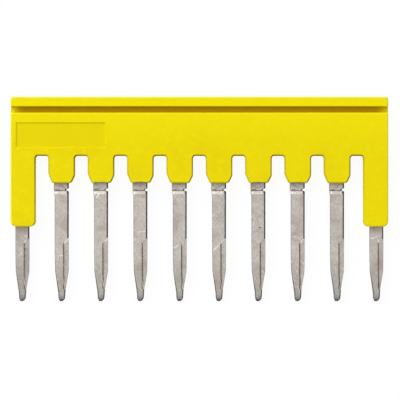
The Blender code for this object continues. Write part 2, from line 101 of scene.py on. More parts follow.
class NodeCanvas:
    """Adds, sets and wires the nodes of one node tree."""

    COLUMNS = 12
    COLUMN_WIDTH = 190
    ROW_HEIGHT = 240

    def __init__(self, tree: bpy.types.NodeTree) -> None:
        """Start on the shader or geometry tree that is to be filled."""
        self.tree = tree

    def add(self, kind: str, inputs: dict | None = None,
            **settings: object) -> bpy.types.Node:
        """Add one node.

        Args:
            kind: Blender's name of the node type.
            inputs: Values or sockets for the node's inputs, by name or number.
            settings: Values for the node's own settings.

        Returns:
            The new node.
        """
        node = self.tree.nodes.new(kind)
        row, column = divmod(len(self.tree.nodes), self.COLUMNS)
        node.location = (self.COLUMN_WIDTH * column, -self.ROW_HEIGHT * row)
        for name, value in settings.items():
            setattr(node, name, value)
        for key, value in (inputs or {}).items():
            self.feed(node.inputs[key], value)
        return node

    def feed(self, socket: Socket, value: Value) -> None:
        """Link another socket to this one, or set its plain value.

        Args:
            socket: The input to fill.
            value: A socket to link from, or a number, vector, colour or data block.
        """
        if isinstance(value, bpy.types.NodeSocket):
            self.tree.links.new(value, socket)
        else:
            socket.default_value = value

    def math(self, operation: str, first: Value, second: Value = 0.0) -> Socket:
        """Result of a Math node on one or two values."""
        node = self.add("ShaderNodeMath", {0: first, 1: second}, operation=operation)
        return node.outputs[0]

    def times(self, first: Value, second: Value) -> Socket:
        """Product of two values."""
        return self.math("MULTIPLY", first, second)

    def vector(self, operation: str, first: Value, second: Value) -> Socket:
        """Result of a Vector Math node on two vectors."""
        node = self.add("ShaderNodeVectorMath", {0: first, 1: second}, operation=operation)
        return node.outputs[0]

    def rescale(self, value: Value, low: Value, high: Value, start: Value = 0.0,
                end: Value = 1.0) -> Socket:
        """Move a value from the range low to high onto start to end, clamped and eased.

        Args:
            value: The value to move.
            low: Value that gives start.
            high: Value that gives end.
            start: Result at the low value.
            end: Result at the high value.

        Returns:
            The rescaled value.
        """
        node = self.add("ShaderNodeMapRange", {0: value, 1: low, 2: high, 3: start, 4: end})
        node.interpolation_type = "SMOOTHSTEP"
        return node.outputs[0]

    def blend(self, factor: Value, first: Value, second: Value) -> Socket:
        """Mix two colours.

        Args:
            factor: Share of the second colour.
            first: Colour at factor 0.
            second: Colour at factor 1.

        Returns:
            The mixed colour.
        """
        node = self.add("ShaderNodeMix", data_type="RGBA", blend_type="MIX")
        self.feed(node.inputs["Factor"], factor)
        colours = [socket for socket in node.inputs if socket.type == "RGBA"]
        self.feed(colours[0], first)
        self.feed(colours[1], second)
        return [socket for socket in node.outputs if socket.type == "RGBA"][0]

    def noise(self, coordinates: Value, scale: Value, detail: float = 2.0,
              distortion: float = 0.0) -> Socket:
        """Value of a Noise Texture that is seeded by its place alone.

        Args:
            coordinates: Where the noise is read.
            scale: Cells per metre.
            detail: Octaves of finer noise.
            distortion: How much the cells are bent.

        Returns:
            The noise value, about 0.5 on average.
        """
        node = self.add("ShaderNodeTexNoise", {
            "Vector": coordinates, "Scale": scale, "Detail": detail, "Distortion": distortion})
        return node.outputs["Fac"]

    def attribute(self, name: str) -> Socket:
        """Value of one of the piece's own attributes."""
        return self.add("ShaderNodeAttribute", attribute_name=name).outputs["Fac"]

    def split(self, vector: Value) -> bpy.types.bpy_prop_collection:
        """The three parts of a vector."""
        return self.add("ShaderNodeSeparateXYZ", {0: vector}).outputs

    def bump(self, shader: bpy.types.Node, height: Value, strength: float,
             distance: float) -> None:
        """Feed a shader's normal from a height.

        Args:
            shader: The Principled shader.
            height: The height of the surface's grain.
            strength: How much of the bump shows.
            distance: Height of the grain in metres.
        """
        node = self.add("ShaderNodeBump", {
            "Height": height, "Strength": strength, "Distance": distance})
        self.feed(shader.inputs["Normal"], node.outputs[0])


class ShaderGroup:
    """A shader node group with named inputs and outputs, built once."""

    def __init__(self, name: str, inputs: dict[str, str], outputs: dict[str, str]) -> None:
        """Make the group's tree and its interface.

        Args:
            name: Name of the group.
            inputs: Kind of each input, by name. Each use of the group gives all of them.
            outputs: Kind of each output, by name.
        """
        self.tree = bpy.data.node_groups.new(name, "ShaderNodeTree")
        for side, sockets in (("INPUT", inputs), ("OUTPUT", outputs)):
            for label, kind in sockets.items():
                self.tree.interface.new_socket(
                    label, in_out=side, socket_type="NodeSocket" + kind)
        self.canvas = NodeCanvas(self.tree)
        self.given = self.canvas.add("NodeGroupInput").outputs
        self.result = self.canvas.add("NodeGroupOutput").inputs

    def place(self, canvas: NodeCanvas, **inputs: Value) -> bpy.types.bpy_prop_collection:
        """Use the group in a material.

        Args:
            canvas: Canvas of the material's tree.
            inputs: Values for the group's inputs, with underscores for spaces.

        Returns:
            The outputs of the placed group.
        """
        node = canvas.add("ShaderNodeGroup", node_tree=self.tree)
        for name, value in inputs.items():
            canvas.feed(node.inputs[name.replace("_", " ")], value)
        return node.outputs


class SurfaceEffects:
    """The shader groups that the bar's finishes share."""

    CLOUD_RANGE = (0.45, 0.7)
    CLOUD_DETAIL = 3.0
    CLOUD_DISTORTION = 0.6
    SPOT_RANGE = (0.45, 0.75)
    GRAIN_DETAIL = 3.0
    GRAIN_RANGE = (0.35, 0.65)
    BROAD_SCALE = 0.08
    FINE_SHARE = 0.6
    SPECKLE_RANGE = (0.42, 0.58)
    SCRATCH_STRETCH = (1.0, 26.0, 26.0)
    SCRATCH_EDGE = 0.05
    GAP_SCALE = 2.2
    GAP_RANGE = (0.45, 0.6)
    MARK_ENDS = (1.0, 0.7)
    MARK_SIDES = (1.0, 0.3)

    def __init__(self) -> None:
        """Build every shared group once."""
        self.mottle = self._mottle()
        self.grain = self._grain()
        self.worn_edge = self._worn_edge()
        self.scratches = self._scratches()
        self.mark = self._mark()

    def _mottle(self) -> ShaderGroup:
        """Cloudy change between three tones of one colour, at two scales.

        Returns:
            The group, which puts out the mottled colour.
        """
        group = ShaderGroup(
            "cloudy_mottle",
            {"Coordinates": "Vector", "Base": "Color", "Cool": "Color", "Warm": "Color",
             "Cloud Scale": "Float", "Spot Scale": "Float", "Amount": "Float"},
            {"Color": "Color"})
        canvas, given = group.canvas, group.given
        clouds = canvas.noise(given["Coordinates"], given["Cloud Scale"],
                              self.CLOUD_DETAIL, self.CLOUD_DISTORTION)
        spots = canvas.noise(given["Coordinates"], given["Spot Scale"])
        warm = canvas.times(canvas.rescale(clouds, *self.CLOUD_RANGE), given["Amount"])
        cool = canvas.times(canvas.rescale(spots, *self.SPOT_RANGE), given["Amount"])
        colour = canvas.blend(warm, given["Base"], given["Warm"])
        canvas.feed(group.result["Color"], canvas.blend(cool, colour, given["Cool"]))
        return group

    def _grain(self) -> ShaderGroup:
        """Fine eroded or rolled grain: a height, and a roughness that follows it.

        Returns:
            The group, which puts out the height and the roughness.
        """
        group = ShaderGroup(
            "fine_grain",
            {"Coordinates": "Vector", "Grain Scale": "Float", "Low Roughness": "Float",
             "High Roughness": "Float"},
            {"Height": "Float", "Roughness": "Float"})
        canvas, given = group.canvas, group.given
        fine = canvas.noise(given["Coordinates"], given["Grain Scale"], self.GRAIN_DETAIL)
        broad_scale = canvas.times(given["Grain Scale"], self.BROAD_SCALE)
        broad = canvas.noise(given["Coordinates"], broad_scale)
        height = canvas.math("ADD", canvas.times(fine, self.FINE_SHARE),
                             canvas.times(broad, 1 - self.FINE_SHARE))
        canvas.feed(group.result["Height"], height)
        canvas.feed(group.result["Roughness"], canvas.rescale(
            height, *self.GRAIN_RANGE, given["Low Roughness"], given["High Roughness"]))
        return group

    def _worn_edge(self) -> ShaderGroup:
        """Worn or stained edge: one of the piece's attributes, broken up by speckle.

        Returns:
            The group, which puts out the mask of the worn places.
        """
        group = ShaderGroup(
            "worn_edge",
            {"Coordinates": "Vector", "Edge": "Float", "Speckle Scale": "Float",
             "Speckle": "Float"},
            {"Mask": "Float"})
        canvas, given = group.canvas, group.given
        noise = canvas.noise(given["Coordinates"], given["Speckle Scale"])
        speckle = canvas.rescale(noise, *self.SPECKLE_RANGE)
        kept = canvas.math("SUBTRACT", 1.0, canvas.times(speckle, given["Speckle"]))
        canvas.feed(group.result["Mask"], canvas.times(given["Edge"], kept))
        return group

    def _scratches(self) -> ShaderGroup:
        """Sparse fine scratches along one direction.

        Returns:
            The group, which puts out the mask of the scratches.
        """
        group = ShaderGroup(
            "fine_scratches",
            {"Coordinates": "Vector", "Angle": "Float", "Scale": "Float", "Rarity": "Float"},
            {"Mask": "Float"})
        canvas, given = group.canvas, group.given
        turned = canvas.add("ShaderNodeVectorRotate", {
            "Vector": given["Coordinates"], "Angle": given["Angle"]}, rotation_type="Z_AXIS")
        drawn = canvas.vector("MULTIPLY", turned.outputs[0], self.SCRATCH_STRETCH)
        lines = canvas.noise(drawn, given["Scale"], 1.0)
        gap_scale = canvas.times(given["Scale"], self.GAP_SCALE)
        broken = canvas.noise(turned.outputs[0], gap_scale, 1.0)
        full_at = canvas.math("ADD", given["Rarity"], self.SCRATCH_EDGE)
        sharp = canvas.rescale(lines, given["Rarity"], full_at)
        canvas.feed(group.result["Mask"], canvas.times(
            sharp, canvas.rescale(broken, *self.GAP_RANGE)))
        return group

    def _mark(self) -> ShaderGroup:
        """One soft-edged streak or spot at a given place on the front.

        Returns:
            The group, which puts out the mask of the mark.
        """
        group = ShaderGroup(
            "single_mark",
            {"Coordinates": "Vector", "Centre X": "Float", "Centre Y": "Float",
             "Angle": "Float", "Half Length": "Float", "Half Width": "Float"},
            {"Mask": "Float"})
        canvas, given = group.canvas, group.given
        centre = canvas.add("ShaderNodeCombineXYZ", {
            "X": given["Centre X"], "Y": given["Centre Y"]}).outputs[0]
        offset = canvas.vector("SUBTRACT", given["Coordinates"], centre)
        turned = canvas.add("ShaderNodeVectorRotate", {
            "Vector": offset, "Angle": canvas.times(given["Angle"], -1.0)},
            rotation_type="Z_AXIS")
        parts = canvas.split(turned.outputs[0])
        along = canvas.math("DIVIDE", canvas.math("ABSOLUTE", parts[0]), given["Half Length"])
        across = canvas.math("DIVIDE", canvas.math("ABSOLUTE", parts[1]), given["Half Width"])
        inside = canvas.times(canvas.rescale(along, *self.MARK_ENDS),
                             canvas.rescale(across, *self.MARK_SIDES))
        canvas.feed(group.result["Mask"], inside)
        return group


# Finishes


class MarkTone(Enum):
    """Colour of a mark on the metal: real streaks, painted highlights and painted shade."""

    BRIGHT = (0.86, 0.82, 0.77, 1.0)
    DARK = (0.05, 0.04, 0.036, 1.0)
    BROWN = (0.15, 0.10, 0.065, 1.0)
    GREY = (0.20, 0.182, 0.164, 1.0)


@dataclass(frozen=True)
class SurfaceMark:
    """A real streak, a painted highlight or painted shade on the front of one pin."""

    pin: int
    off_middle: float
    depth: float
    angle: float
    half_length: float
    half_width: float
    tone: MarkTone
    strength: float

    # Pins, offset from the middle, depth, angle in radians, half length, half width, tone
    # and strength, with lengths in millimetres. A later mark covers an earlier one.
    TABLE: ClassVar[tuple] = (
        # Darker over the blades of the two outer pins.
        ((0,), 0.0, 26.0, 0.0, 1.5, 8.0, MarkTone.GREY, 0.26),
        ((9,), 0.0, 26.0, 0.0, 1.5, 8.0, MarkTone.GREY, 0.10),
        # Painted shadow under the ends of the outer legs.
        (OUTER_POLES, 0.0, 20.1, 0.0, 4.0, 1.4, MarkTone.BROWN, 0.42),
        ((0,), 0.34, 25.2, 1.6, 1.9, 0.09, MarkTone.BROWN, 0.6),
        ((0,), 0.42, 23.60, 0.4, 0.24, 0.14, MarkTone.BROWN, 0.95),
        ((0,), 0.50, 24.60, 1.2, 0.25, 0.08, MarkTone.BROWN, 0.7),
        # Bright marks about 22 mm deep on the right half of a pin are painted highlights on the
        # crease where the rear leg bends back.
        ((0,), 0.45, 22.4, 0.9, 0.3, 0.09, MarkTone.BRIGHT, 0.8),
        ((0,), -0.30, 24.4, 0.8, 0.5, 0.06, MarkTone.BRIGHT, 0.5),
        ((1,), 0.74, 22.28, 0.87, 0.62, 0.13, MarkTone.BRIGHT, 1.0),
        ((1,), -0.25, 24.6, 0.2, 0.45, 0.07, MarkTone.BRIGHT, 0.45),
        ((2,), -0.55, 15.35, 0.95, 0.42, 0.12, MarkTone.BRIGHT, 1.0),
        ((2,), 0.86, 22.1, 0.9, 0.45, 0.12, MarkTone.BRIGHT, 0.9),
        ((3,), 0.0, 20.9, 0.05, 0.75, 0.06, MarkTone.BRIGHT, 0.6),
        ((3,), 0.65, 20.85, 0.3, 0.15, 0.09, MarkTone.BRIGHT, 0.9),
        ((4,), 0.40, 22.75, 0.95, 0.45, 0.08, MarkTone.BRIGHT, 0.7),
        ((4,), -0.60, 23.2, 0.5, 0.45, 0.12, MarkTone.BRIGHT, 0.6),
        ((5,), 0.0, 22.9, 0.79, 1.45, 0.08, MarkTone.BRIGHT, 0.8),
        ((6,), 0.22, 20.27, -0.3, 0.24, 0.14, MarkTone.DARK, 0.9),
        ((6,), -0.35, 18.6, -1.15, 1.1, 0.06, MarkTone.GREY, 0.7),
        ((7,), 0.64, 22.34, 0.93, 0.42, 0.10, MarkTone.BRIGHT, 1.0),
        ((7,), -0.5, 21.6, 0.0, 0.4, 0.05, MarkTone.BRIGHT, 0.5),
        ((8,), 0.60, 22.0, 1.2, 0.25, 0.07, MarkTone.BRIGHT, 0.5),
        ((9,), -0.62, 21.9, 0.25, 0.33, 0.09, MarkTone.BRIGHT, 1.0),
        ((9,), 0.05, 21.75, 0.0, 0.2, 0.08, MarkTone.BRIGHT, 0.7),
        ((9,), 0.35, 22.3, -0.9, 0.35, 0.09, MarkTone.BRIGHT, 0.7),
        # Painted shade, in streaks, on the necks under the short legs.
        ((1,), 0.2, 13.95, -0.5, 0.50, 0.14, MarkTone.GREY, 0.7),
        ((2,), -0.5, 14.20, 0.1, 0.60, 0.12, MarkTone.DARK, 0.5),
        ((3,), 0.1, 13.70, 0.6, 0.60, 0.14, MarkTone.GREY, 0.8),
        ((4,), -0.4, 14.15, -0.3, 0.50, 0.12, MarkTone.GREY, 0.7),
        ((5,), -0.1, 13.95, 0.5, 0.90, 0.12, MarkTone.GREY, 0.8),
        ((6,), 0.0, 14.05, 0.3, 0.80, 0.14, MarkTone.GREY, 0.7),
        ((7,), -0.3, 13.85, -0.5, 0.60, 0.12, MarkTone.DARK, 0.4),
        ((8,), 0.1, 13.80, 0.9, 0.50, 0.14, MarkTone.GREY, 0.7),
        # Score: painted highlight on its lower slope and on the left bevel below it, painted shade
        # at its left end and under the nick.
        (INNER_POLES, -0.1, 14.78, 0.0, 1.3, 0.34, MarkTone.BRIGHT, 0.20),
        (INNER_POLES, -0.66, 14.38, -0.12, 0.40, 0.12, MarkTone.DARK, 0.6),
        (INNER_POLES, -0.86, 14.86, 0.95, 0.30, 0.12, MarkTone.BRIGHT, 0.9),
        (INNER_POLES, 0.91, 14.78, 1.57, 0.30, 0.22, MarkTone.DARK, 0.95),
    )

    @classmethod
    def all(cls) -> tuple["SurfaceMark", ...]:
        """Make every mark of the table.

        Returns:
            One mark for each pin of each row.
        """
        return tuple(cls(pin, off * MM, depth * MM, angle, length * MM, width * MM, *look)
                     for pins, off, depth, angle, length, width, *look in cls.TABLE
                     for pin in pins)


def new_material(name: str) -> tuple[bpy.types.Material, NodeCanvas, bpy.types.Node]:
    """Make a node material.

    Args:
        name: Name of the material.

    Returns:
        The material, its canvas and its Principled shader.
    """
    material = bpy.data.materials.new(name)
    material.use_nodes = True
    canvas = NodeCanvas(material.node_tree)
    return material, canvas, material.node_tree.nodes["Principled BSDF"]


@dataclass(frozen=True)
class YellowMoulding:
    """Satin yellow plastic with a faint eroded grain and rubbed outer edges."""

    base: tuple = (0.830, 0.688, 0.0016, 1.0)
    warm: tuple = (0.793, 0.646, 0.0014, 1.0)
    cool: tuple = (0.858, 0.732, 0.0020, 1.0)
    # Lighter yellow, painted on near the top edge as light from above.
    top_light_tone: tuple = (0.880, 0.770, 0.0020, 1.0)
    rubbed: tuple = (0.880, 0.755, 0.010, 1.0)
    # Painted shade deep in the groove.
    groove_shade_colour: tuple = (0.60, 0.382, 0.0006, 1.0)
    shaded_rim: tuple = (0.20, 0.12, 0.001, 1.0)
    mottle_scales: tuple = (170.0, 1100.0)
    mottle_amount: float = 0.8
    top_light_low: float = 9.0 * MM
    top_light_top: float = 1.0 * MM
    top_light_share: float = 0.75
    field_share: float = 0.8
    edge_speckle: tuple = (1500.0, 0.25)
    lit_end: float = 2.0 * MM
    lit_end_shade: float = 0.15
    rim_low: float = 0.3 * MM
    rim_high: float = 0.2 * MM
    grain_scale: float = 7000.0
    roughness: tuple = (0.42, 0.52)
    scuffs: tuple = (0.5, 160.0, 0.70)
    scuff_share: float = 0.12
    specular: float = 0.05
    bump: float = 0.25
    bump_height: float = 0.02 * MM

    def material(self, effects: SurfaceEffects) -> bpy.types.Material:
        """Build the plastic.

        Args:
            effects: The shared shader groups.

        Returns:
            The finished material.
        """
        material, canvas, shader = new_material("yellow_moulding")
        place = canvas.add("ShaderNodeTexCoord").outputs["Object"]
        parts = canvas.split(place)
        cloud_scale, spot_scale = self.mottle_scales
        tint = effects.mottle.place(
            canvas, Coordinates=place, Base=self.base, Warm=self.warm, Cool=self.cool,
            Cloud_Scale=cloud_scale, Spot_Scale=spot_scale, Amount=self.mottle_amount)
        # Painted light: the face turns lighter towards the top edge.
        near_top = canvas.rescale(
            parts[1], y_at(self.top_light_low), y_at(self.top_light_top), 0.0, self.top_light_share)
        colour = canvas.blend(near_top, tint["Color"], self.top_light_tone)
        speckle_scale, speckle = self.edge_speckle
        rubbed = effects.worn_edge.place(
            canvas, Coordinates=place, Edge=canvas.attribute("edge"),
            Speckle_Scale=speckle_scale, Speckle=speckle)
        colour = canvas.blend(rubbed["Mask"], colour, self.rubbed)
        field = canvas.times(canvas.attribute("field"), self.field_share)
        colour = canvas.blend(field, colour, self.warm)
        # Painted shade in the groove, with painted light towards its open ends where light comes
        # in.
        from_middle = canvas.math("ABSOLUTE", parts[0])
        shade = canvas.times(canvas.attribute("groove"), canvas.rescale(
            from_middle, HALF_LENGTH - self.lit_end, HALF_LENGTH, 1.0, self.lit_end_shade))
        colour = canvas.blend(shade, colour, self.groove_shade_colour)
        # Painted shade on the rims of the slots.
        rim = canvas.times(canvas.attribute("rim"), canvas.rescale(
            parts[2], FRONT_Z - self.rim_low, FRONT_Z - self.rim_high))
        colour = canvas.blend(rim, colour, self.shaded_rim)
        angle, scale, rarity = self.scuffs
        scuffs = effects.scratches.place(
            canvas, Coordinates=place, Angle=angle, Scale=scale, Rarity=rarity)
        scuffed = canvas.times(scuffs["Mask"], self.scuff_share)
        low, high = self.roughness
        grain = effects.grain.place(
            canvas, Coordinates=place, Grain_Scale=self.grain_scale, Low_Roughness=low,
            High_Roughness=high)
        canvas.feed(shader.inputs["Base Color"], canvas.blend(scuffed, colour, self.rubbed))
        canvas.feed(shader.inputs["Roughness"], grain["Roughness"])
        shader.inputs["Specular IOR Level"].default_value = self.specular
        canvas.bump(shader, grain["Height"], self.bump, self.bump_height)
        return material


@dataclass(frozen=True)
class TinPlate:
    """Matte tin plating over the stamped comb, grainy and dark along its sheared edges, with
    painted shade and painted highlights on the pins.
    """

    base: tuple = (0.415, 0.382, 0.352, 1.0)
    warm: tuple = (0.330, 0.282, 0.252, 1.0)
    cool: tuple = (0.292, 0.280, 0.258, 1.0)
    # Dark of the sheared edges' grain, also used for the painted shade on the pins' bevels.
    sheared_grain_and_shade: tuple = (0.036, 0.036, 0.034, 1.0)
    # Brown of the painted shade along the slit and under the legs' mouths.
    brown: tuple = (0.105, 0.068, 0.040, 1.0)
    olive: tuple = (0.245, 0.252, 0.202, 1.0)
    rose: tuple = (0.280, 0.236, 0.206, 1.0)
    tip_grey: tuple = (0.290, 0.300, 0.278, 1.0)
    speckles: tuple = (("edge", 2300.0, 1.0), ("bevel", 1500.0, 0.12), ("slit", 1900.0, 0.3))
    mottle_scales: tuple = (420.0, 4200.0)
    patch_scale: float = 190.0
    patch_range: tuple = (0.4, 0.6)
    handled_from: float = 23.0 * MM
    handled_to: float = 26.5 * MM
    handled_shares: tuple = (0.06, 0.36)
    tip_from: float = 29.0 * MM
    tip_to: float = 31.0 * MM
    tip_share: float = 0.6
    scuffs: tuple = ((0.75, 420.0, 0.63), (1.5, 560.0, 0.66), (2.5, 450.0, 0.69))
    scuff_share: float = 0.45
    grain_scale: float = 5200.0
    roughness: tuple = (0.38, 0.48)
    metallic: float = 0.9
    scuff_and_highlight_metallic: float = 0.1
    bump: float = 0.35
    bump_height: float = 0.03 * MM

    def material(self, effects: SurfaceEffects,
                 marks: tuple[SurfaceMark, ...]) -> bpy.types.Material:
        """Build the plating and the marks on it.

        Args:
            effects: The shared shader groups.
            marks: Streaks and spots on the pins' fronts, with painted highlights and shade among
                them.

        Returns:
            The finished material.
        """
        material, canvas, shader = new_material("tin_plate")
        place = canvas.add("ShaderNodeTexCoord").outputs["Object"]
        parts = canvas.split(place)
        cloud_scale, spot_scale = self.mottle_scales
        tint = effects.mottle.place(
            canvas, Coordinates=place, Base=self.base, Warm=self.warm, Cool=self.cool,
            Cloud_Scale=cloud_scale, Spot_Scale=spot_scale, Amount=1.0)
        patches = canvas.rescale(
            canvas.noise(place, self.patch_scale, 1.0), *self.patch_range)
        aged = canvas.blend(patches, self.olive, self.rose)
        handled = canvas.rescale(parts[1], y_at(self.handled_from), y_at(self.handled_to),
                                 *self.handled_shares)
        colour = canvas.blend(handled, tint["Color"], aged)
        at_tip = canvas.rescale(
            parts[1], y_at(self.tip_from), y_at(self.tip_to), 0.0, self.tip_share)
        colour = canvas.blend(at_tip, colour, self.tip_grey)
        scuff_and_highlight = 0.0
        for angle, scale, rarity in self.scuffs:
            scuffs = effects.scratches.place(
                canvas, Coordinates=place, Angle=angle, Scale=scale, Rarity=rarity)
            share = canvas.times(scuffs["Mask"], self.scuff_share)
            colour = canvas.blend(share, colour, MarkTone.BRIGHT.value)
            scuff_and_highlight = canvas.math("MAXIMUM", scuff_and_highlight, share)
        # Edge holds the grain of the sheared edges; bevel holds painted shade on the right bevels,
        # the taper, the tip's end and the front leg's side; slit holds painted shade along the slit
        # and under the legs' mouths.
        for name, scale, speckle in self.speckles:
            worn = effects.worn_edge.place(
                canvas, Coordinates=place, Edge=canvas.attribute(name), Speckle_Scale=scale,
                Speckle=speckle)
            dark = self.brown if name == "slit" else self.sheared_grain_and_shade
            colour = canvas.blend(worn["Mask"], colour, dark)
        facing = canvas.math("GREATER_THAN", parts[2], COMB_MIDDLE_Z)
        # Marks paint streaks, highlights on the crease and the score, and shade at the necks, the
        # score and under the outer legs; bright marks are made less metallic.
        for mark in marks:
            spot = effects.mark.place(
                canvas, Coordinates=place, Centre_X=pole_x(mark.pin) + mark.off_middle,
                Centre_Y=y_at(mark.depth), Angle=mark.angle, Half_Length=mark.half_length,
                Half_Width=mark.half_width)
            share = canvas.times(facing, canvas.times(spot["Mask"], mark.strength))
            colour = canvas.blend(share, colour, mark.tone.value)
            if mark.tone is MarkTone.BRIGHT:
                scuff_and_highlight = canvas.math("MAXIMUM", scuff_and_highlight, share)
        low, high = self.roughness
        grain = effects.grain.place(
            canvas, Coordinates=place, Grain_Scale=self.grain_scale, Low_Roughness=low,
            High_Roughness=high)
        canvas.feed(shader.inputs["Base Color"], colour)
        canvas.feed(shader.inputs["Roughness"], grain["Roughness"])
        canvas.feed(shader.inputs["Metallic"], canvas.rescale(
            scuff_and_highlight, 0.0, 1.0, self.metallic, self.scuff_and_highlight_metallic))
        canvas.bump(shader, grain["Height"], self.bump, self.bump_height)
        return material


# Mesh helpers


STRAIGHT_TURN = 0.01
FLAT_NORMAL = 0.9
LARGE_FACE_WEIGHT = 100


def rounded_outline(corners: list[tuple[float, float, float]], steps: int = 10) -> list[Vector]:
    """Turn the corners of a closed outline into arcs.

    Args:
        corners: The (x, y, radius) of each corner, in order.
        steps: Facets for a quarter turn.

    Returns:
        The outline's points.
    """
    points = []
    for index, (x, y, radius) in enumerate(corners):
        corner = Vector((x, y))
        before = Vector(corners[index - 1][:2]) - corner
        after = Vector(corners[(index + 1) % len(corners)][:2]) - corner
        turn = math.pi - before.angle(after)
        if radius == 0 or turn < STRAIGHT_TURN:
            points.append(corner)
            continue
        reach = radius * math.tan(turn / 2)
        middle = (before.normalized() + after.normalized()).normalized()
        centre = corner + middle * (radius / math.cos(turn / 2))
        start = corner + before.normalized() * reach - centre
        side = 1 if before.cross(after) < 0 else -1
        count = max(2, round(steps * turn / (math.pi / 2)))
        for step in range(count + 1):
            points.append(centre + Matrix.Rotation(side * turn * step / count, 2) @ start)
    return points


def prism(name: str, outline: list, low: float, high: float,
          axes: Matrix | None = None) -> bpy.types.Object:
    """Extrude a flat outline from low to high along its third axis.

    Args:
        name: Name of the new object.
        outline: Points of the closed outline.
        low: Where the prism starts.
        high: Where it ends.
        axes: Turn from the outline's axes to the world's.

    Returns:
        The prism, with one many-sided face at each end.
    """
    bm = bmesh.new()
    rings = [[bm.verts.new((x, y, z)) for x, y in outline] for z in (low, high)]
    bm.faces.new(rings[0])
    bm.faces.new(rings[1])
    for index in range(len(outline)):
        after = (index + 1) % len(outline)
        bm.faces.new((rings[0][index], rings[0][after], rings[1][after], rings[1][index]))
    bmesh.ops.recalc_face_normals(bm, faces=bm.faces)
    if axes:
        bmesh.ops.transform(bm, matrix=axes, verts=bm.verts)
    return object_from(bm, name)


def object_from(bm: bmesh.types.BMesh, name: str) -> bpy.types.Object:
    """Store a bmesh in a new object of the scene and free it.

    Args:
        bm: The finished bmesh.
        name: Name of the object and of its mesh.

    Returns:
        The new object.
    """
    mesh = bpy.data.meshes.new(name)
    bm.to_mesh(mesh)
    bm.free()
    obj = bpy.data.objects.new(name, mesh)
    bpy.context.scene.collection.objects.link(obj)
    return obj


def round_rims(obj: bpy.types.Object, width: float, segments: int) -> None:
    """Round the edges where the front and back faces meet the side walls.

    Args:
        obj: The prism to round.
        width: Width of the rounding.
        segments: Facets across it.
    """
    bm = bmesh.new()
    bm.from_mesh(obj.data)
    rims = []
    for edge in bm.edges:
        flat = [abs(face.normal.z) > FLAT_NORMAL for face in edge.link_faces]
        if len(flat) == 2 and flat[0] != flat[1]:
            rims.append(edge)
    bmesh.ops.bevel(bm, geom=rims, offset=width, offset_type="OFFSET", segments=segments,
                    profile=0.5, affect="EDGES", clamp_overlap=False)
    bm.to_mesh(obj.data)
    bm.free()


def cut_away(obj: bpy.types.Object, cutters: list[bpy.types.Object]) -> None:
    """Cut pieces out of an object for good, one after the other.

    Args:
        obj: The piece that is cut.
        cutters: Closed shapes to take away; they are deleted.
    """
    for cutter in cutters:
        modifier = obj.modifiers.new("cut", "BOOLEAN")
        modifier.operation = "DIFFERENCE"
        modifier.solver = "EXACT"
        modifier.object = cutter
    bake_modifiers(obj)
    for cutter in cutters:
        bpy.data.objects.remove(cutter)


def bake_modifiers(obj: bpy.types.Object) -> None:
    """Replace an object's mesh by what its modifiers make of it.

    Args:
        obj: The piece; its modifiers are removed.
    """
    bpy.context.view_layer.update()
    evaluated = obj.evaluated_get(bpy.context.evaluated_depsgraph_get())
    mesh = bpy.data.meshes.new_from_object(evaluated)
    obj.modifiers.clear()
    obj.data = mesh


def face_outward(obj: bpy.types.Object) -> None:
    """Turn every face of a closed piece outward.

    Args:
        obj: The piece.
    """
    bm = bmesh.new()
    bm.from_mesh(obj.data)
    bmesh.ops.recalc_face_normals(bm, faces=bm.faces)
    bm.to_mesh(obj.data)
    bm.free()


def smooth_faces(obj: bpy.types.Object, angle: float) -> None:
    """Shade a piece smooth up to an angle, with its large faces kept flat.

    Args:
        obj: The piece.
        angle: Edges sharper than this many degrees stay sharp.
    """
    obj.data.shade_smooth()
    obj.data.set_sharp_from_angle(angle=math.radians(angle))
    modifier = obj.modifiers.new("even_shading", "WEIGHTED_NORMAL")
    modifier.keep_sharp = True
    modifier.weight = LARGE_FACE_WEIGHT
    bake_modifiers(obj)


def paint_attribute(obj: bpy.types.Object, name: str,
                    rule: Callable[[bpy.types.MeshVertex], float]) -> None:
    """Store a value from 0 to 1 for each point of a piece.

    Args:
        obj: The piece.
        name: Name of the attribute that its material reads.
        rule: Gives the value for a point.
    """
    values = [rule(vert) for vert in obj.data.vertices]
    attribute = obj.data.attributes.new(name, "FLOAT", "POINT")
    attribute.data.foreach_set("value", values)


# Moulded body


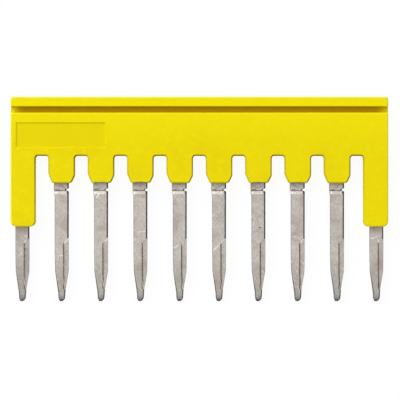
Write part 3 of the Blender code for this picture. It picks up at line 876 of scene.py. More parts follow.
@dataclass
class MouldedBody:
    """Yellow moulding: bar, legs, screwdriver groove and bare marking field."""

    slot_top: float = 9.13 * MM
    slot_radius: float = 0.4 * MM
    leg_width: float = 4.1 * MM
    inner_leg_end: float = 13.36 * MM
    outer_leg_end: float = 20.1 * MM
    outer_leg_radius: float = 0.85 * MM
    corner_radius: float = 0.4 * MM
    rim_rounding: float = 0.24 * MM
    rim_shade_depth: float = 0.022 * MM
    left_chamfer: tuple = (0.62 * MM, 1.45 * MM, 1.2 * MM, 0.4 * MM)
    right_chamfer: tuple = (0.56 * MM, 1.15 * MM, 0.9 * MM, 0.55 * MM)
    groove_top: float = 1.47 * MM
    groove_low: float = 2.42 * MM
    groove_depth: float = 1.4 * MM
    upper_lip: float = 0.1 * MM
    lower_lip: float = 0.3 * MM
    field_length: float = 13.93 * MM
    field_height: float = 3.95 * MM
    field_from_end: float = 0.81 * MM
    field_top: float = 3.95 * MM
    field_recess: float = 0.18 * MM
    field_draft: float = 0.12 * MM
    pocket_top: float = 3.2 * MM
    pocket_low: float = 8.25 * MM
    pocket_half_width: float = 1.26 * MM
    pocket_half_depth: float = 0.53 * MM
    arch_half_width: float = 1.08 * MM
    arch_heights: tuple = ((2, 0.20 * MM), (3, 0.24 * MM), (6, 0.20 * MM), (7, 0.16 * MM))
    arch_steps: int = 12
    groove_fillet: float = 0.12 * MM
    lip_steps: int = 8
    rim_segments: int = 4
    smooth_angle: float = 35.0
    beyond: float = 1.0 * MM
    rub_starts: tuple = (0.01 * MM, 0.1 * MM)
    rub_ends: tuple = (0.6 * MM, 0.25 * MM)
    groove_shade: tuple = (0.2 * MM, 0.6 * MM)
    margin: float = 0.01 * MM
    rim_light: tuple = (0.6, -0.8)
    rim_least: float = 0.4
    rim_fade: float = 0.65

    def build(self, finish: bpy.types.Material) -> bpy.types.Object:
        """Build and dress the moulding.

        Args:
            finish: The plastic.

        Returns:
            The finished piece, which stands for the insulating body.
        """
        body = prism("moulded_body", self.outline(), 0.0, FRONT_Z)
        round_rims(body, self.rim_rounding, self.rim_segments)
        cut_away(body, [self.groove_cutter(), self.field_cutter(), self.pocket_cutter(),
                        *self.arch_cutters()])
        smooth_faces(body, self.smooth_angle)
        # The groove and rim attributes hold painted shade, the edge attribute rubbed wear and the
        # field attribute the marking field.
        for name, rule in (("edge", self.edge_share), ("groove", self.groove_shade_share),
                           ("field", self.field_share), ("rim", self.rim_shade_share)):
            paint_attribute(body, name, rule)
        body.data.materials.clear()
        body.data.materials.append(finish)
        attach(body, BODY)
        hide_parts("insulating_body")
        return body

    def outline(self) -> list[Vector]:
        """Outline of the bar with one leg for each pole.

        Returns:
            The outline's points, with every corner rounded.
        """
        top = y_at(0)
        corners = [(-HALF_LENGTH, top, self.corner_radius), (HALF_LENGTH, top, self.corner_radius)]
        for index in reversed(range(POLE_COUNT)):
            first, last = index == 0, index == POLE_COUNT - 1
            right = HALF_LENGTH if last else pole_x(index) + self.leg_width / 2
            left = -HALF_LENGTH if first else pole_x(index) - self.leg_width / 2
            if not last:
                corners.append((right, y_at(self.slot_top), self.slot_radius))
            corners += self.outer_leg(left, right) if first or last else self.inner_leg(left, right)
            if not first:
                corners.append((left, y_at(self.slot_top), self.slot_radius))
        return rounded_outline(corners)

    def outer_leg(self, left: float, right: float) -> list[tuple]:
        """The (x, y, radius) of the corners at the end of a long leg, from the right."""
        end = y_at(self.outer_leg_end)
        return [(right, end, self.outer_leg_radius), (left, end, self.outer_leg_radius)]

    def inner_leg(self, left: float, right: float) -> list[tuple]:
        """Chamfered corners at the end of a short leg, longer on its left.

        Args:
            left: X of the leg's left side.
            right: X of its right side.

        Returns:
            The (x, y, radius) of each corner, from the right.
        """
        end = y_at(self.inner_leg_end)
        corners = []
        for side, edge, (inset, drop, shoulder, toe) in (
                (-1, right, self.right_chamfer), (1, left, self.left_chamfer)):
            pair = [(edge, end + drop, shoulder), (edge + side * inset, end, toe)]
            corners += pair if side < 0 else pair[::-1]
        return corners

    def groove_cutter(self) -> bpy.types.Object:
        """Screwdriver groove along the whole front, flared at its two lips.

        Returns:
            The shape to take away.
        """
        top_y, low_y = y_at(self.groove_top), y_at(self.groove_low)
        bottom = FRONT_Z - self.groove_depth
        fillet = self.groove_fillet
        points = [(low_y + fillet, bottom), (top_y - fillet, bottom), (top_y, bottom + fillet)]
        quarter = [math.pi / 2 * step / self.lip_steps for step in range(self.lip_steps + 1)]
        for angle in quarter:
            points.append((top_y + self.upper_lip * (1 - math.cos(angle)),
                           FRONT_Z - self.upper_lip * (1 - math.sin(angle))))
        points.append((top_y + self.upper_lip, FRONT_Z + self.beyond))
        points.append((low_y - self.lower_lip, FRONT_Z + self.beyond))
        for angle in quarter:
            points.append((low_y - self.lower_lip * (1 - math.sin(angle)),
                           FRONT_Z - self.lower_lip * (1 - math.cos(angle))))
        points.append((low_y, bottom + fillet))
        along_bar = Matrix(((0, 0, 1, 0), (1, 0, 0, 0), (0, 1, 0, 0), (0, 0, 0, 1)))
        reach = HALF_LENGTH + self.beyond
        return prism("groove_cutter", points, -reach, reach, along_bar)

    def field_cutter(self) -> bpy.types.Object:
        """Shallow tray of the marking field, its four walls leaning outwards.

        Returns:
            The shape to take away.
        """
        bm = bmesh.new()
        bmesh.ops.create_cube(bm, size=1)
        rise = self.field_recess + self.beyond
        flare = self.field_draft * rise / self.field_recess
        for vert in bm.verts:
            widen = 2 * flare if vert.co.z > 0 else 0.0
            vert.co.x *= self.field_length - 2 * self.field_draft + widen
            vert.co.y *= self.field_height - 2 * self.field_draft + widen
            vert.co.z = rise if vert.co.z > 0 else 0.0
        middle = (-HALF_LENGTH + self.field_from_end + self.field_length / 2,
                  y_at(self.field_top + self.field_height / 2), FRONT_Z - self.field_recess)
        bmesh.ops.translate(bm, verts=bm.verts, vec=middle)
        return object_from(bm, "field_cutter")

    def pocket_cutter(self) -> bpy.types.Object:
        """Pocket round the comb, open at the end of each leg.

        Returns:
            The shape to take away.
        """
        half = self.pocket_half_width
        end = pole_x(POLE_COUNT - 1) + half
        corners = [(-end, y_at(self.pocket_top), 0), (end, y_at(self.pocket_top), 0)]
        for index in reversed(range(POLE_COUNT)):
            outer = index in (0, POLE_COUNT - 1)
            mouth = y_at((self.outer_leg_end if outer else self.inner_leg_end) + self.beyond)
            if index < POLE_COUNT - 1:
                corners.append((pole_x(index) + half, y_at(self.pocket_low), 0))
            corners.append((pole_x(index) + half, mouth, 0))
            corners.append((pole_x(index) - half, mouth, 0))
            if index > 0:
                corners.append((pole_x(index) - half, y_at(self.pocket_low), 0))
        return prism("pocket_cutter", rounded_outline(corners),
                     COMB_MIDDLE_Z - self.pocket_half_depth, COMB_MIDDLE_Z + self.pocket_half_depth)

    def arch_cutters(self) -> list[bpy.types.Object]:
        """Low arches where the front wall of some legs was moulded a little short.

        Returns:
            The shapes to take away.
        """
        below = y_at(self.inner_leg_end + self.beyond)
        turns = [math.pi * step / self.arch_steps for step in range(self.arch_steps + 1)]
        cutters = []
        for index, height in self.arch_heights:
            outline = [(pole_x(index) + self.arch_half_width * math.cos(turn),
                        y_at(self.inner_leg_end - height * math.sin(turn))) for turn in turns]
            outline += [(pole_x(index) + side * self.arch_half_width, below) for side in (-1, 1)]
            cutters.append(prism("arch_cutter", outline, COMB_MIDDLE_Z, FRONT_Z + self.beyond))
        return cutters

    def edge_share(self, vert: bpy.types.MeshVertex) -> float:
        """How much a point lies on the rubbed outer rim of the front face.

        Args:
            vert: The point.

        Returns:
            The share, from 0 to 1.
        """
        below = FRONT_Z - vert.co.z
        share = smooth_ramp(below, *self.rub_starts) * smooth_ramp(below, *self.rub_ends)
        in_groove = y_at(self.groove_low) <= vert.co.y <= y_at(self.groove_top)
        shaded = in_groove or self.field_share(vert) > 0 or self.rim_shade_share(vert) > 0
        return 0.0 if shaded else share

    def field_share(self, vert: bpy.types.MeshVertex) -> float:
        """Whether a point lies on the sunk floor of the marking field.

        Args:
            vert: The point.

        Returns:
            One on the floor, zero elsewhere.
        """
        left = -HALF_LENGTH + self.field_from_end
        high = y_at(self.field_top)
        across = left <= vert.co.x <= left + self.field_length
        along = high - self.field_height <= vert.co.y <= high
        deep = self.margin < FRONT_Z - vert.co.z < self.field_recess + 2 * self.margin
        return float(across and along and deep)

    def groove_shade_share(self, vert: bpy.types.MeshVertex) -> float:
        """How much painted shade a point gets, by how far it lies down in the groove.

        Args:
            vert: The point.

        Returns:
            The share, from 0 near the face to 1 in the groove's lower half.
        """
        low, high = y_at(self.groove_low) - HAIR, y_at(self.groove_top) + HAIR
        below = FRONT_Z - vert.co.z
        if not low <= vert.co.y <= high or below > self.groove_depth + HAIR:
            return 0.0
        return smooth_ramp(below, *self.groove_shade)

    def rim_shade_share(self, vert: bpy.types.MeshVertex) -> float:
        """How much painted shade a point gets on the rims of the slots, most where they face down
        or right.

        Args:
            vert: The point.

        Returns:
            The share, from 0 to 1.
        """
        x, y, z = vert.co
        margin = self.rim_rounding + self.margin
        if abs(x) > HALF_LENGTH - margin or not y_at(self.outer_leg_end) + margin < y < (
                y_at(self.slot_top) + margin):
            return 0.0
        leg_end = smooth_ramp(y, y_at(self.inner_leg_end), y_at(self.inner_leg_end) + margin)
        inner = abs(x) < pole_x(POLE_COUNT - 1) - self.leg_width / 2 - margin
        across = Vector((vert.normal.x, vert.normal.y, 0)).normalized()
        light_x, light_y = self.rim_light
        turned_away = max(0.0, light_x * across.x + light_y * across.y)
        facing = self.rim_least + (1 - self.rim_least) * turned_away
        below = smooth_ramp(FRONT_Z - z, 0.0, self.rim_shade_depth)
        fade = 1 - self.rim_fade * smooth_ramp(y, y_at(self.slot_top), y_at(self.outer_leg_end))
        return facing * below * fade * (leg_end if inner else 1.0)


# Contact comb


class PoleKind(Enum):
    """Where a pole stands in the row."""

    LEFT_END = "left_end_pole"
    INNER = "inner_pole"
    RIGHT_END = "right_end_pole"


@dataclass
class SpringPin:
    """One flat pin with its piece of spine, split into a front leg and a rear leg.

    Depths are below the push edge, and offsets are from the pin's middle line. The points
    of a cross-section are numbered from the slit outwards, on the front and on the back:
    two that carry the painted shade along the slit, a clean one, a guard, the corner, three
    on the rounded edge and the outer one.
    """

    # Points beside the slit, which take painted shade.
    SLIT_SHADED = {0: 1.0, 1: 0.8}
    CORNER = 4
    ROUNDED = (5, 6, 7)
    ROUNDED_SHARES = (0.25, 0.5, 0.75)
    OUTER = 8

    kind: PoleKind
    half_thickness: float = 0.5 * MM
    spine_top: float = 3.25 * MM
    spine_low: float = 8.2 * MM
    spine_overhang: float = 0.06 * MM
    neck_left: float = 1.22 * MM
    neck_right: float = 1.09 * MM
    mouth: float = 13.36 * MM
    neck_low: float = 14.95 * MM
    left_reach: tuple = (
        (15.25 * MM, 1.09 * MM), (24.0 * MM, 1.08 * MM), (26.95 * MM, 1.03 * MM),
        (30.3 * MM, 0.565 * MM), (30.75 * MM, 0.54 * MM), (31.08 * MM, 0.525 * MM))
    right_reach: tuple = (
        (15.25 * MM, 1.08 * MM), (24.5 * MM, 1.07 * MM), (27.05 * MM, 1.05 * MM),
        (29.8 * MM, 0.585 * MM), (30.7 * MM, 0.545 * MM), (31.08 * MM, 0.51 * MM))
    taper_top: float = 26.95 * MM
    tip_depth: float = 31.08 * MM
    end_half_width: float = 0.2 * MM
    end_offset: float = -0.08 * MM
    end_roundness: float = 1.9
    pin_end: float = 31.66 * MM
    left_bevel: float = 0.10 * MM
    right_bevel: float = 0.24 * MM
    rear_bevel: float = 0.05 * MM
    taper_bevel: float = 0.12 * MM
    bevel_change: tuple = (-0.02 * MM, 0.2 * MM)
    bevel_most: float = 0.6
    bevel_roundness: float = 0.35
    score_depth: float = 14.43 * MM
    score_cut: float = 0.22 * MM
    score_wall: float = 0.05 * MM
    score_slope: float = 0.54 * MM
    nick_depth: float = 14.40 * MM
    nick_cut: float = 0.38 * MM
    nick_half_height: float = 0.25 * MM
    nick_squareness: float = 1.8
    slit_top: float = 22.77 * MM
    slit_offset: float = 0.225 * MM
    slit_half_width: float = 0.03 * MM
    slit_lean: float = 0.12
    slit_kink: float = 27.5 * MM
    slit_slant: float = 0.088
    slit_shade_width: float = 0.052 * MM
    slit_shade_fade: float = 0.8
    slit_shade_most: float = 0.3
    clean_most: float = 0.5
    guard: float = 0.004 * MM
    rear_end: float = 29.75 * MM
    shoulder: float = 29.77 * MM
    shoulder_length: float = 0.03 * MM
    crease_rise: float = 1.01 * MM
    crease_above: float = 3.2 * MM
    crease_below: tuple = (3.0 * MM, 0.3 * MM)
    front_out: float = 0.16 * MM
    front_bend: float = 3.6 * MM
    front_return: float = 26.4 * MM
    front_home: float = 30.2 * MM
    rear_out: float = 0.20 * MM
    rear_step: float = 0.05 * MM
    rear_step_length: float = 0.07 * MM
    rear_bend: float = 3.4 * MM
    rear_return: float = 26.6 * MM
    rear_point: float = 0.19 * MM
    rear_taper: float = 0.35
    rear_home: float = 0.1 * MM
    coined_top: float = 30.6 * MM
    coined_half: float = 0.1 * MM
    coined_roundness: float = 2.2
    hidden_rows: tuple = (9.5 * MM, 12.0 * MM)
    mouth_rows: tuple = (0.0, 0.2 * MM, 0.45 * MM)
    nick_rows: tuple = (-1, -0.45, 0, 1)
    crotch_rows: tuple = (0.07 * MM, 0.14 * MM, 0.22 * MM, 0.34 * MM, 0.5 * MM, 0.7 * MM,
                          0.95 * MM)
    crotch_lead: float = 1.2 * MM
    least_step: float = 0.012 * MM
    front_edge_wear: float = 0.45
    rear_edge_wear: float = 0.5
    wear_fade: float = 0.4 * MM
    tip_end_shade: float = 1.0
    tip_darkening: float = 0.10
    tip_darkening_length: float = 1.0 * MM
    tip_end_shade_top: float = 30.95 * MM
    taper_shade: float = 0.55
    taper_shade_rows: tuple = (0.3 * MM, 0.9 * MM)
    taper_shade_loss: float = 0.4
    side_shade: float = 0.9
    shade_top: float = 28.4 * MM
    shade_length: float = 0.6 * MM
    side_shade_width: float = 0.16 * MM
    rear_shade_length: float = 0.3 * MM
    mouth_shadow: float = 0.54
    mouth_shadow_low: float = 0.2 * MM
    mouth_shadow_top: float = 0.1 * MM

    def slit_x(self, depth: float) -> float:
        """Offset of the slit's middle at a depth."""
        return self.slit_offset + self.slit_slant * max(0.0, depth - self.slit_kink)

    def half_width(self, depth: float, left: bool) -> float:
        """Reach of the outline to one side at a depth.

        Args:
            depth: Depth below the push edge.
            left: Whether the left side is asked for.

        Returns:
            The distance from the middle line to the outline.
        """
        neck = self.neck_left if left else self.neck_right
        if depth <= self.neck_low:
            return neck
        reach = self.left_reach if left else self.right_reach
        step_low, blade_top = reach[0]
        if depth <= step_low:
            return neck + (blade_top - neck) * smooth_ramp(depth, self.neck_low, step_low)
        for (top, top_width), (low, low_width) in zip(reach, reach[1:]):
            if depth <= low:
                return top_width + (low_width - top_width) * (depth - top) / (low - top)
        tip_half = reach[-1][1]
        share = (depth - self.tip_depth) / (self.pin_end - self.tip_depth)
        end = self.end_half_width - self.end_offset * (1 if left else -1)
        return tip_half + (end - tip_half) * share ** self.end_roundness

    def nick(self, depth: float) -> float:
        """How deep the nick cuts into the right edge at a depth.

        Args:
            depth: Depth below the push edge.

        Returns:
            The cut, zero on the outer poles.
        """
        if self.kind is not PoleKind.INNER:
            return 0.0
        away = abs(depth - self.nick_depth) / self.nick_half_height
        return self.nick_cut * min(1.0, self.nick_squareness * max(0.0, 1 - away))

    def score(self, depth: float) -> float:
        """How deep the break-off score cuts into each face at a depth.

        Args:
            depth: Depth below the push edge.

        Returns:
            The cut, zero on the outer poles.
        """
        root = self.score_depth + self.score_wall
        if self.kind is not PoleKind.INNER or depth <= self.score_depth:
            return 0.0
        if depth <= root:
            return self.score_cut * (depth - self.score_depth) / self.score_wall
        return self.score_cut * max(0.0, 1 - (depth - root) / self.score_slope)

    def half_thickness_at(self, depth: float) -> float:
        """Half of the sheet's thickness, less where the tip is coined.

        Args:
            depth: Depth below the push edge.

        Returns:
            The half thickness before the score is cut.
        """
        if depth <= self.coined_top:
            return self.half_thickness
        share = (depth - self.coined_top) / (self.pin_end - self.coined_top)
        loss = self.half_thickness - self.coined_half
        return self.half_thickness - loss * share ** self.coined_roundness

    def lift(self, depth: float, base_depth: float, front_leg: bool) -> float:
        """How far a leg is bent out of the comb's plane.

        Args:
            depth: The point's own depth.
            base_depth: Depth at which its row meets the slit.
            front_leg: Whether the point is on the front leg.

        Returns:
            The offset along Z.
        """
        if front_leg:
            out = smooth_ramp(depth, self.slit_top, self.slit_top + self.front_bend)
            home = smooth_ramp(depth, self.front_return, self.front_home)
            return self.front_out * (out - home)
        past = base_depth - self.slit_top
        if past <= 0:
            return 0.0
        step = self.rear_step * min(1.0, past / self.rear_step_length)
        slope = (self.rear_out - self.rear_step) * smooth_ramp(past, 0.0, self.rear_bend)
        home = smooth_ramp(depth, self.rear_return, self.rear_end)
        return -(step + slope) + (self.rear_out - self.rear_home) * home

    def rows(self) -> list[float]:
        """Depths of the cross-sections, from the spine down to the pin's end.

        Returns:
            The depths in order, none closer to the one before than the least step.
        """
        root = self.score_depth + self.score_wall
        marks = {self.spine_low, *self.hidden_rows, self.score_depth, root,
                 root + self.score_slope, self.neck_low, self.slit_top, self.slit_kink,
                 self.taper_top, self.rear_end, self.shoulder,
                 self.shoulder + self.shoulder_length, self.coined_top, self.tip_depth,
                 self.pin_end}
        marks |= {self.mouth + drop for drop in self.mouth_rows}
        marks |= {self.nick_depth + share * self.nick_half_height for share in self.nick_rows}
        marks |= {self.slit_top + drop for drop in self.crotch_rows}
        marks |= {depth for depth, _ in self.left_reach + self.right_reach}
        step_low = self.left_reach[0][0]
        crotch_high = self.slit_top - self.crotch_lead
        crotch_low = self.slit_top + self.crotch_rows[-1]
        # Start, end and number of even steps
        spans = ((self.neck_low, step_low, 4), (step_low, crotch_high, 26),
                 (crotch_high, self.slit_top, 6), (crotch_low, self.slit_kink, 14),
                 (self.slit_kink, self.rear_end, 14), (self.shoulder, self.tip_depth, 8),
                 (self.tip_depth, self.pin_end, 8))
        for start, end, count in spans:
            marks |= {start + (end - start) * step / count for step in range(count + 1)}
        ordered = sorted(marks)
        return [depth for index, depth in enumerate(ordered)
                if index == 0 or depth - ordered[index - 1] > self.least_step]

    def skew(self, base_depth: float) -> float:
        """Rise of a row towards the right edge, so that one row follows the crease.

        Args:
            base_depth: Depth at which the row meets the slit.

        Returns:
            The rise at the right edge.
        """
        far, near = self.crease_below
        above = smooth_ramp(base_depth, self.slit_top - self.crease_above, self.slit_top)
        below = smooth_ramp(base_depth, self.slit_top + far, self.slit_top + near)
        return self.crease_rise * min(above, below)

    def inner_x(self, base_depth: float, front_leg: bool) -> float:
        """Offset of a leg's side at the slit.

        Args:
            base_depth: Depth at which the row meets the slit.
            front_leg: Whether this is the left part, which becomes the front leg.

        Returns:
            The offset; below the shoulder the front leg takes the whole width.
        """
        side = -1 if front_leg else 1
        inner = self.slit_x(base_depth) + side * self.slit_half_width
        if not front_leg or base_depth <= self.shoulder:
            return inner
        full = self.half_width(base_depth, False)
        low = self.shoulder + self.shoulder_length
        return inner + (full - inner) * smooth_ramp(base_depth, self.shoulder, low)

    def outer_x(self, base_depth: float, front_leg: bool) -> float:
        """Offset of a leg's side at the pin's outline.

        Args:
            base_depth: Depth at which the row meets the slit.
            front_leg: Whether this is the left part, which becomes the front leg.

        Returns:
            The offset, with the nick and the rear leg's point taken into account.
        """
        if front_leg:
            return -self.half_width(base_depth, True)
        outer = self.half_width(base_depth - self.skew(base_depth), False)
        outer -= self.nick(base_depth)
        if base_depth <= self.slit_kink:
            return outer
        point = self.rear_point + self.rear_taper * max(0.0, self.rear_end - base_depth)
        return min(outer, self.inner_x(base_depth, False) + point)

    def bevel_width(self, base_depth: float, front_leg: bool) -> float:
        """Width of the rounded edge along the outline.

        Args:
            base_depth: Depth at which the row meets the slit.
            front_leg: Whether this is the left part, which becomes the front leg.

        Returns:
            The width, wider on the left of the taper and narrow along the rear leg.
        """
        if front_leg:
            along_taper = smooth_ramp(base_depth, self.taper_top, self.tip_depth)
            return self.left_bevel + self.taper_bevel * along_taper
        start, end = self.bevel_change
        rear = smooth_ramp(base_depth, self.slit_top + start, self.slit_top + end)
        return self.right_bevel + (self.rear_bevel - self.right_bevel) * rear

    def section(self, base_depth: float, front_leg: bool) -> list[tuple[float, float, float]]:
        """Points round one leg's cross-section, or round half of the whole blade's.

        Args:
            base_depth: Depth at which the row meets the slit.
            front_leg: Whether this is the left part, which becomes the front leg.

        Returns:
            Offset, depth and Z of each point, from the front of the slit round to its back.
        """
        side = -1 if front_leg else 1
        inner, outer = self.inner_x(base_depth, front_leg), self.outer_x(base_depth, front_leg)
        bevel = min(self.bevel_width(base_depth, front_leg),
                    abs(outer - inner) * self.bevel_most)
        corner = outer - side * bevel
        half = self.half_thickness_at(base_depth)
        face = half - self.score(base_depth)
        slit_shade = self.slit_shade_width
        if front_leg:
            slit_shade += (self.side_shade_width - slit_shade) * smooth_ramp(
                base_depth, self.shade_top, self.shoulder)
        room = abs(corner - inner)
        shade_reach = min(slit_shade, room * self.slit_shade_most)
        clean = min(slit_shade + self.slit_shade_fade * self.slit_shade_width, room * self.clean_most)
        profile = [(x, face) for x in (inner, inner + side * shade_reach, inner + side * clean,
                                       corner - side * self.guard, corner)]
        for share in self.ROUNDED_SHARES:
            turn = share * math.pi / 2
            straight = (1 - self.bevel_roundness) * share
            out = straight + self.bevel_roundness * math.sin(turn)
            down = straight + self.bevel_roundness * (1 - math.cos(turn))
            profile.append((corner + side * bevel * out, min(half - bevel * down, face)))
        profile.append((outer, min(half - bevel, face)))
        slit = self.slit_x(base_depth)
        rise = 0.0 if front_leg else self.skew(base_depth)
        lean = 0.0
        if self.is_split(base_depth):
            lean = self.slit_lean * smooth_ramp(base_depth, self.rear_end, self.slit_kink)
        result = []
        for x, z in profile + [(x, -z) for x, z in reversed(profile)]:
            depth = base_depth - rise * max(0.0, (x - slit) / (outer - slit))
            if abs(x - inner) < clean + HAIR:
                x += lean * z
            result.append((x, depth, COMB_MIDDLE_Z + z + self.lift(depth, base_depth, front_leg)))
        return result

    def is_split(self, depth: float) -> bool:
        """Whether the slit parts the pin at a depth."""
        return depth > self.slit_top - HAIR

    def front_tones(self, depth: float, rim: int) -> tuple[float, float]:
        """Wear and painted shade of a point of the left part, which becomes the front leg.

        Args:
            depth: Depth of its row.
            rim: Its number, counted from the slit outwards.

        Returns:
            The values of the edge attribute, which is wear, and of the bevel attribute, which is
            painted shade.
        """
        firm = smooth_ramp(depth, self.tip_depth + self.wear_fade, self.tip_depth)
        edge = self.front_edge_wear * firm if rim in self.ROUNDED else 0.0
        # Painted shade: darker towards the tip and dark at its end, along the taper's left bevel,
        # and beside the slit towards the tip.
        towards_tip = smooth_ramp(depth, self.shoulder - self.tip_darkening_length, self.tip_end_shade_top)
        end = smooth_ramp(depth, self.tip_end_shade_top, self.pin_end)
        shade = max(self.tip_darkening * towards_tip, self.tip_end_shade * end)
        if rim in (self.CORNER, *self.ROUNDED[:2]):
            start, full = (self.taper_top + drop for drop in self.taper_shade_rows)
            kept = 1 - self.taper_shade_loss * smooth_ramp(depth, self.shoulder, self.tip_depth)
            shade = max(shade, self.taper_shade * smooth_ramp(depth, start, full) * kept)
        if rim in self.SLIT_SHADED:
            shade = max(shade, self.side_shade * smooth_ramp(
                depth, self.shade_top, self.shade_top + self.shade_length))
        return edge, shade

    def rear_tones(self, depth: float, rim: int) -> tuple[float, float]:
        """Wear and painted shade of a point of the right part, which becomes the rear leg.

        Args:
            depth: Depth of its row.
            rim: Its number, counted from the slit outwards.

        Returns:
            The values of the edge attribute, which is wear, and of the bevel attribute, which is
            painted shade.
        """
        # Painted shade on the right bevel above the slit, which faces away from the light.
        above = smooth_ramp(depth, self.slit_top + self.rear_shade_length, self.slit_top)
        edge = (1 - above) * self.rear_edge_wear if rim in self.ROUNDED else 0.0
        return edge, above if rim in (*self.ROUNDED, self.OUTER) else 0.0

    def slit_shade(self, depth: float, rim: int) -> float:
        """Painted shade of a point, along the slit and under the leg's mouth.

        Args:
            depth: Depth of its row.
            rim: Its number, counted from the slit outwards.

        Returns:
            The value of the slit attribute.
        """
        # Painted shade along the slit, and the leg's painted shadow under its mouth.
        if self.is_split(depth):
            return self.SLIT_SHADED.get(rim, 0.0)
        return self.mouth_shadow * smooth_ramp(
            depth, self.score_depth - self.mouth_shadow_low, self.mouth - self.mouth_shadow_top)

    def ring(self, bm: bmesh.types.BMesh, layers: tuple, depth: float,
             front_leg: bool) -> list[bmesh.types.BMVert]:
        """Add the points of one cross-section, with their wear and painted shade.

        Args:
            bm: The mesh to add to.
            layers: Layers of the edge, bevel and slit attributes.
            depth: Depth at which the row meets the slit.
            front_leg: Whether this is the left part, which becomes the front leg.

        Returns:
            The new points, in order.
        """
        section = self.section(depth, front_leg)
        verts = []
        for number, (x, own_depth, z) in enumerate(section):
            rim = min(number, len(section) - 1 - number)
            tones = self.front_tones(depth, rim) if front_leg else self.rear_tones(depth, rim)
            vert = bm.verts.new((x, y_at(own_depth), z))
            for layer, tone in zip(layers, (*tones, self.slit_shade(depth, rim))):
                vert[layer] = tone
            verts.append(vert)
        return verts

    def build(self) -> bpy.types.Object:
        """Loft the pin's sections and close it with its piece of spine.

        Returns:
            The pole, whose middle line is at X = 0, open where its spine meets the next one.
        """
        bm = bmesh.new()
        layers = tuple(bm.verts.layers.float.new(name) for name in ("edge", "bevel", "slit"))
        rows = self.rows()
        rings: dict[bool, list] = {True: [], False: []}
        for depth in rows:
            for front_leg in (True, False):
                if front_leg or depth <= self.rear_end + HAIR:
                    rings[front_leg].append(self.ring(bm, layers, depth, front_leg))
        self.bridge(bm, rows, rings)
        self.add_spine(bm, rings)
        bmesh.ops.triangulate(bm, faces=[face for face in bm.faces if len(face.verts) > 4])
        bmesh.ops.recalc_face_normals(bm, faces=bm.faces)
        return object_from(bm, self.kind.value)

    def bridge(self, bm: bmesh.types.BMesh, rows: list[float], rings: dict) -> None:
        """Join the rings of the two legs into skins, with the slit's walls and end caps.

        Args:
            bm: The mesh to add to.
            rows: Depth of each row.
            rings: Rings of the front leg under True and of the rear leg under False.
        """
        left, right = rings[True], rings[False]
        count = len(left[0])
        for row, depth in enumerate(rows[:-1]):
            for skin in (left, right):
                if row + 1 >= len(skin):
                    continue
                upper, lower = skin[row], skin[row + 1]
                for number in range(count - 1):
                    bm.faces.new((upper[number], upper[number + 1],
                                  lower[number + 1], lower[number]))
                if self.is_split(depth):
                    bm.faces.new((upper[-1], upper[0], lower[0], lower[-1]))
            if not self.is_split(depth):
                for number in (0, -1):
                    bm.faces.new((left[row][number], right[row][number],
                                  right[row + 1][number], left[row + 1][number]))
        crotch = next(row for row, depth in enumerate(rows) if self.is_split(depth))
        front, rear = left[crotch], right[crotch]
        bm.faces.new((front[0], rear[0], rear[-1], front[-1]))
        for ring in (right[-1], left[-1]):
            for number in range(count // 2 - 1):
                bm.faces.new((ring[number], ring[number + 1],
                              ring[count - 2 - number], ring[count - 1 - number]))

    def add_spine(self, bm: bmesh.types.BMesh, rings: dict) -> None:
        """Close the top of the neck with one pitch of the spine.

        Args:
            bm: The mesh to add to.
            rings: Rings of the two halves, whose first rows are the neck's top.
        """
        half = POLE_PITCH / 2
        left_x, right_x = -half, half
        if self.kind is PoleKind.LEFT_END:
            left_x = -self.neck_left - self.spine_overhang
        if self.kind is PoleKind.RIGHT_END:
            right_x = self.neck_right + self.spine_overhang
        low, top = y_at(self.spine_low), y_at(self.spine_top)
        front, back = (COMB_MIDDLE_Z + side * self.half_thickness for side in (1, -1))
        corner = {(x, y, z): bm.verts.new((x, y, z))
                  for x in (left_x, right_x) for y in (low, top) for z in (front, back)}
        left, right = rings[True][0], rings[False][0]
        flat = range(self.CORNER + 1)
        for z, first, step in ((front, 0, 1), (back, -1, -1)):
            neck = [left[first + step * number] for number in reversed(flat)]
            neck += [right[first + step * number] for number in flat]
            bm.faces.new([corner[left_x, low, z], *neck, corner[right_x, low, z],
                          corner[right_x, top, z], corner[left_x, top, z]])
        for ring, x in ((left, left_x), (right, right_x)):
            side = ring[self.CORNER:-self.CORNER]
            bm.faces.new([corner[x, low, front], *side, corner[x, low, back]])
        bm.faces.new([corner[left_x, top, front], corner[right_x, top, front],
                      corner[right_x, top, back], corner[left_x, top, back]])
        ends = {PoleKind.LEFT_END: left_x, PoleKind.RIGHT_END: right_x}
        if self.kind in ends:
            x = ends[self.kind]
            bm.faces.new([corner[x, low, front], corner[x, top, front],
                          corner[x, top, back], corner[x, low, back]])


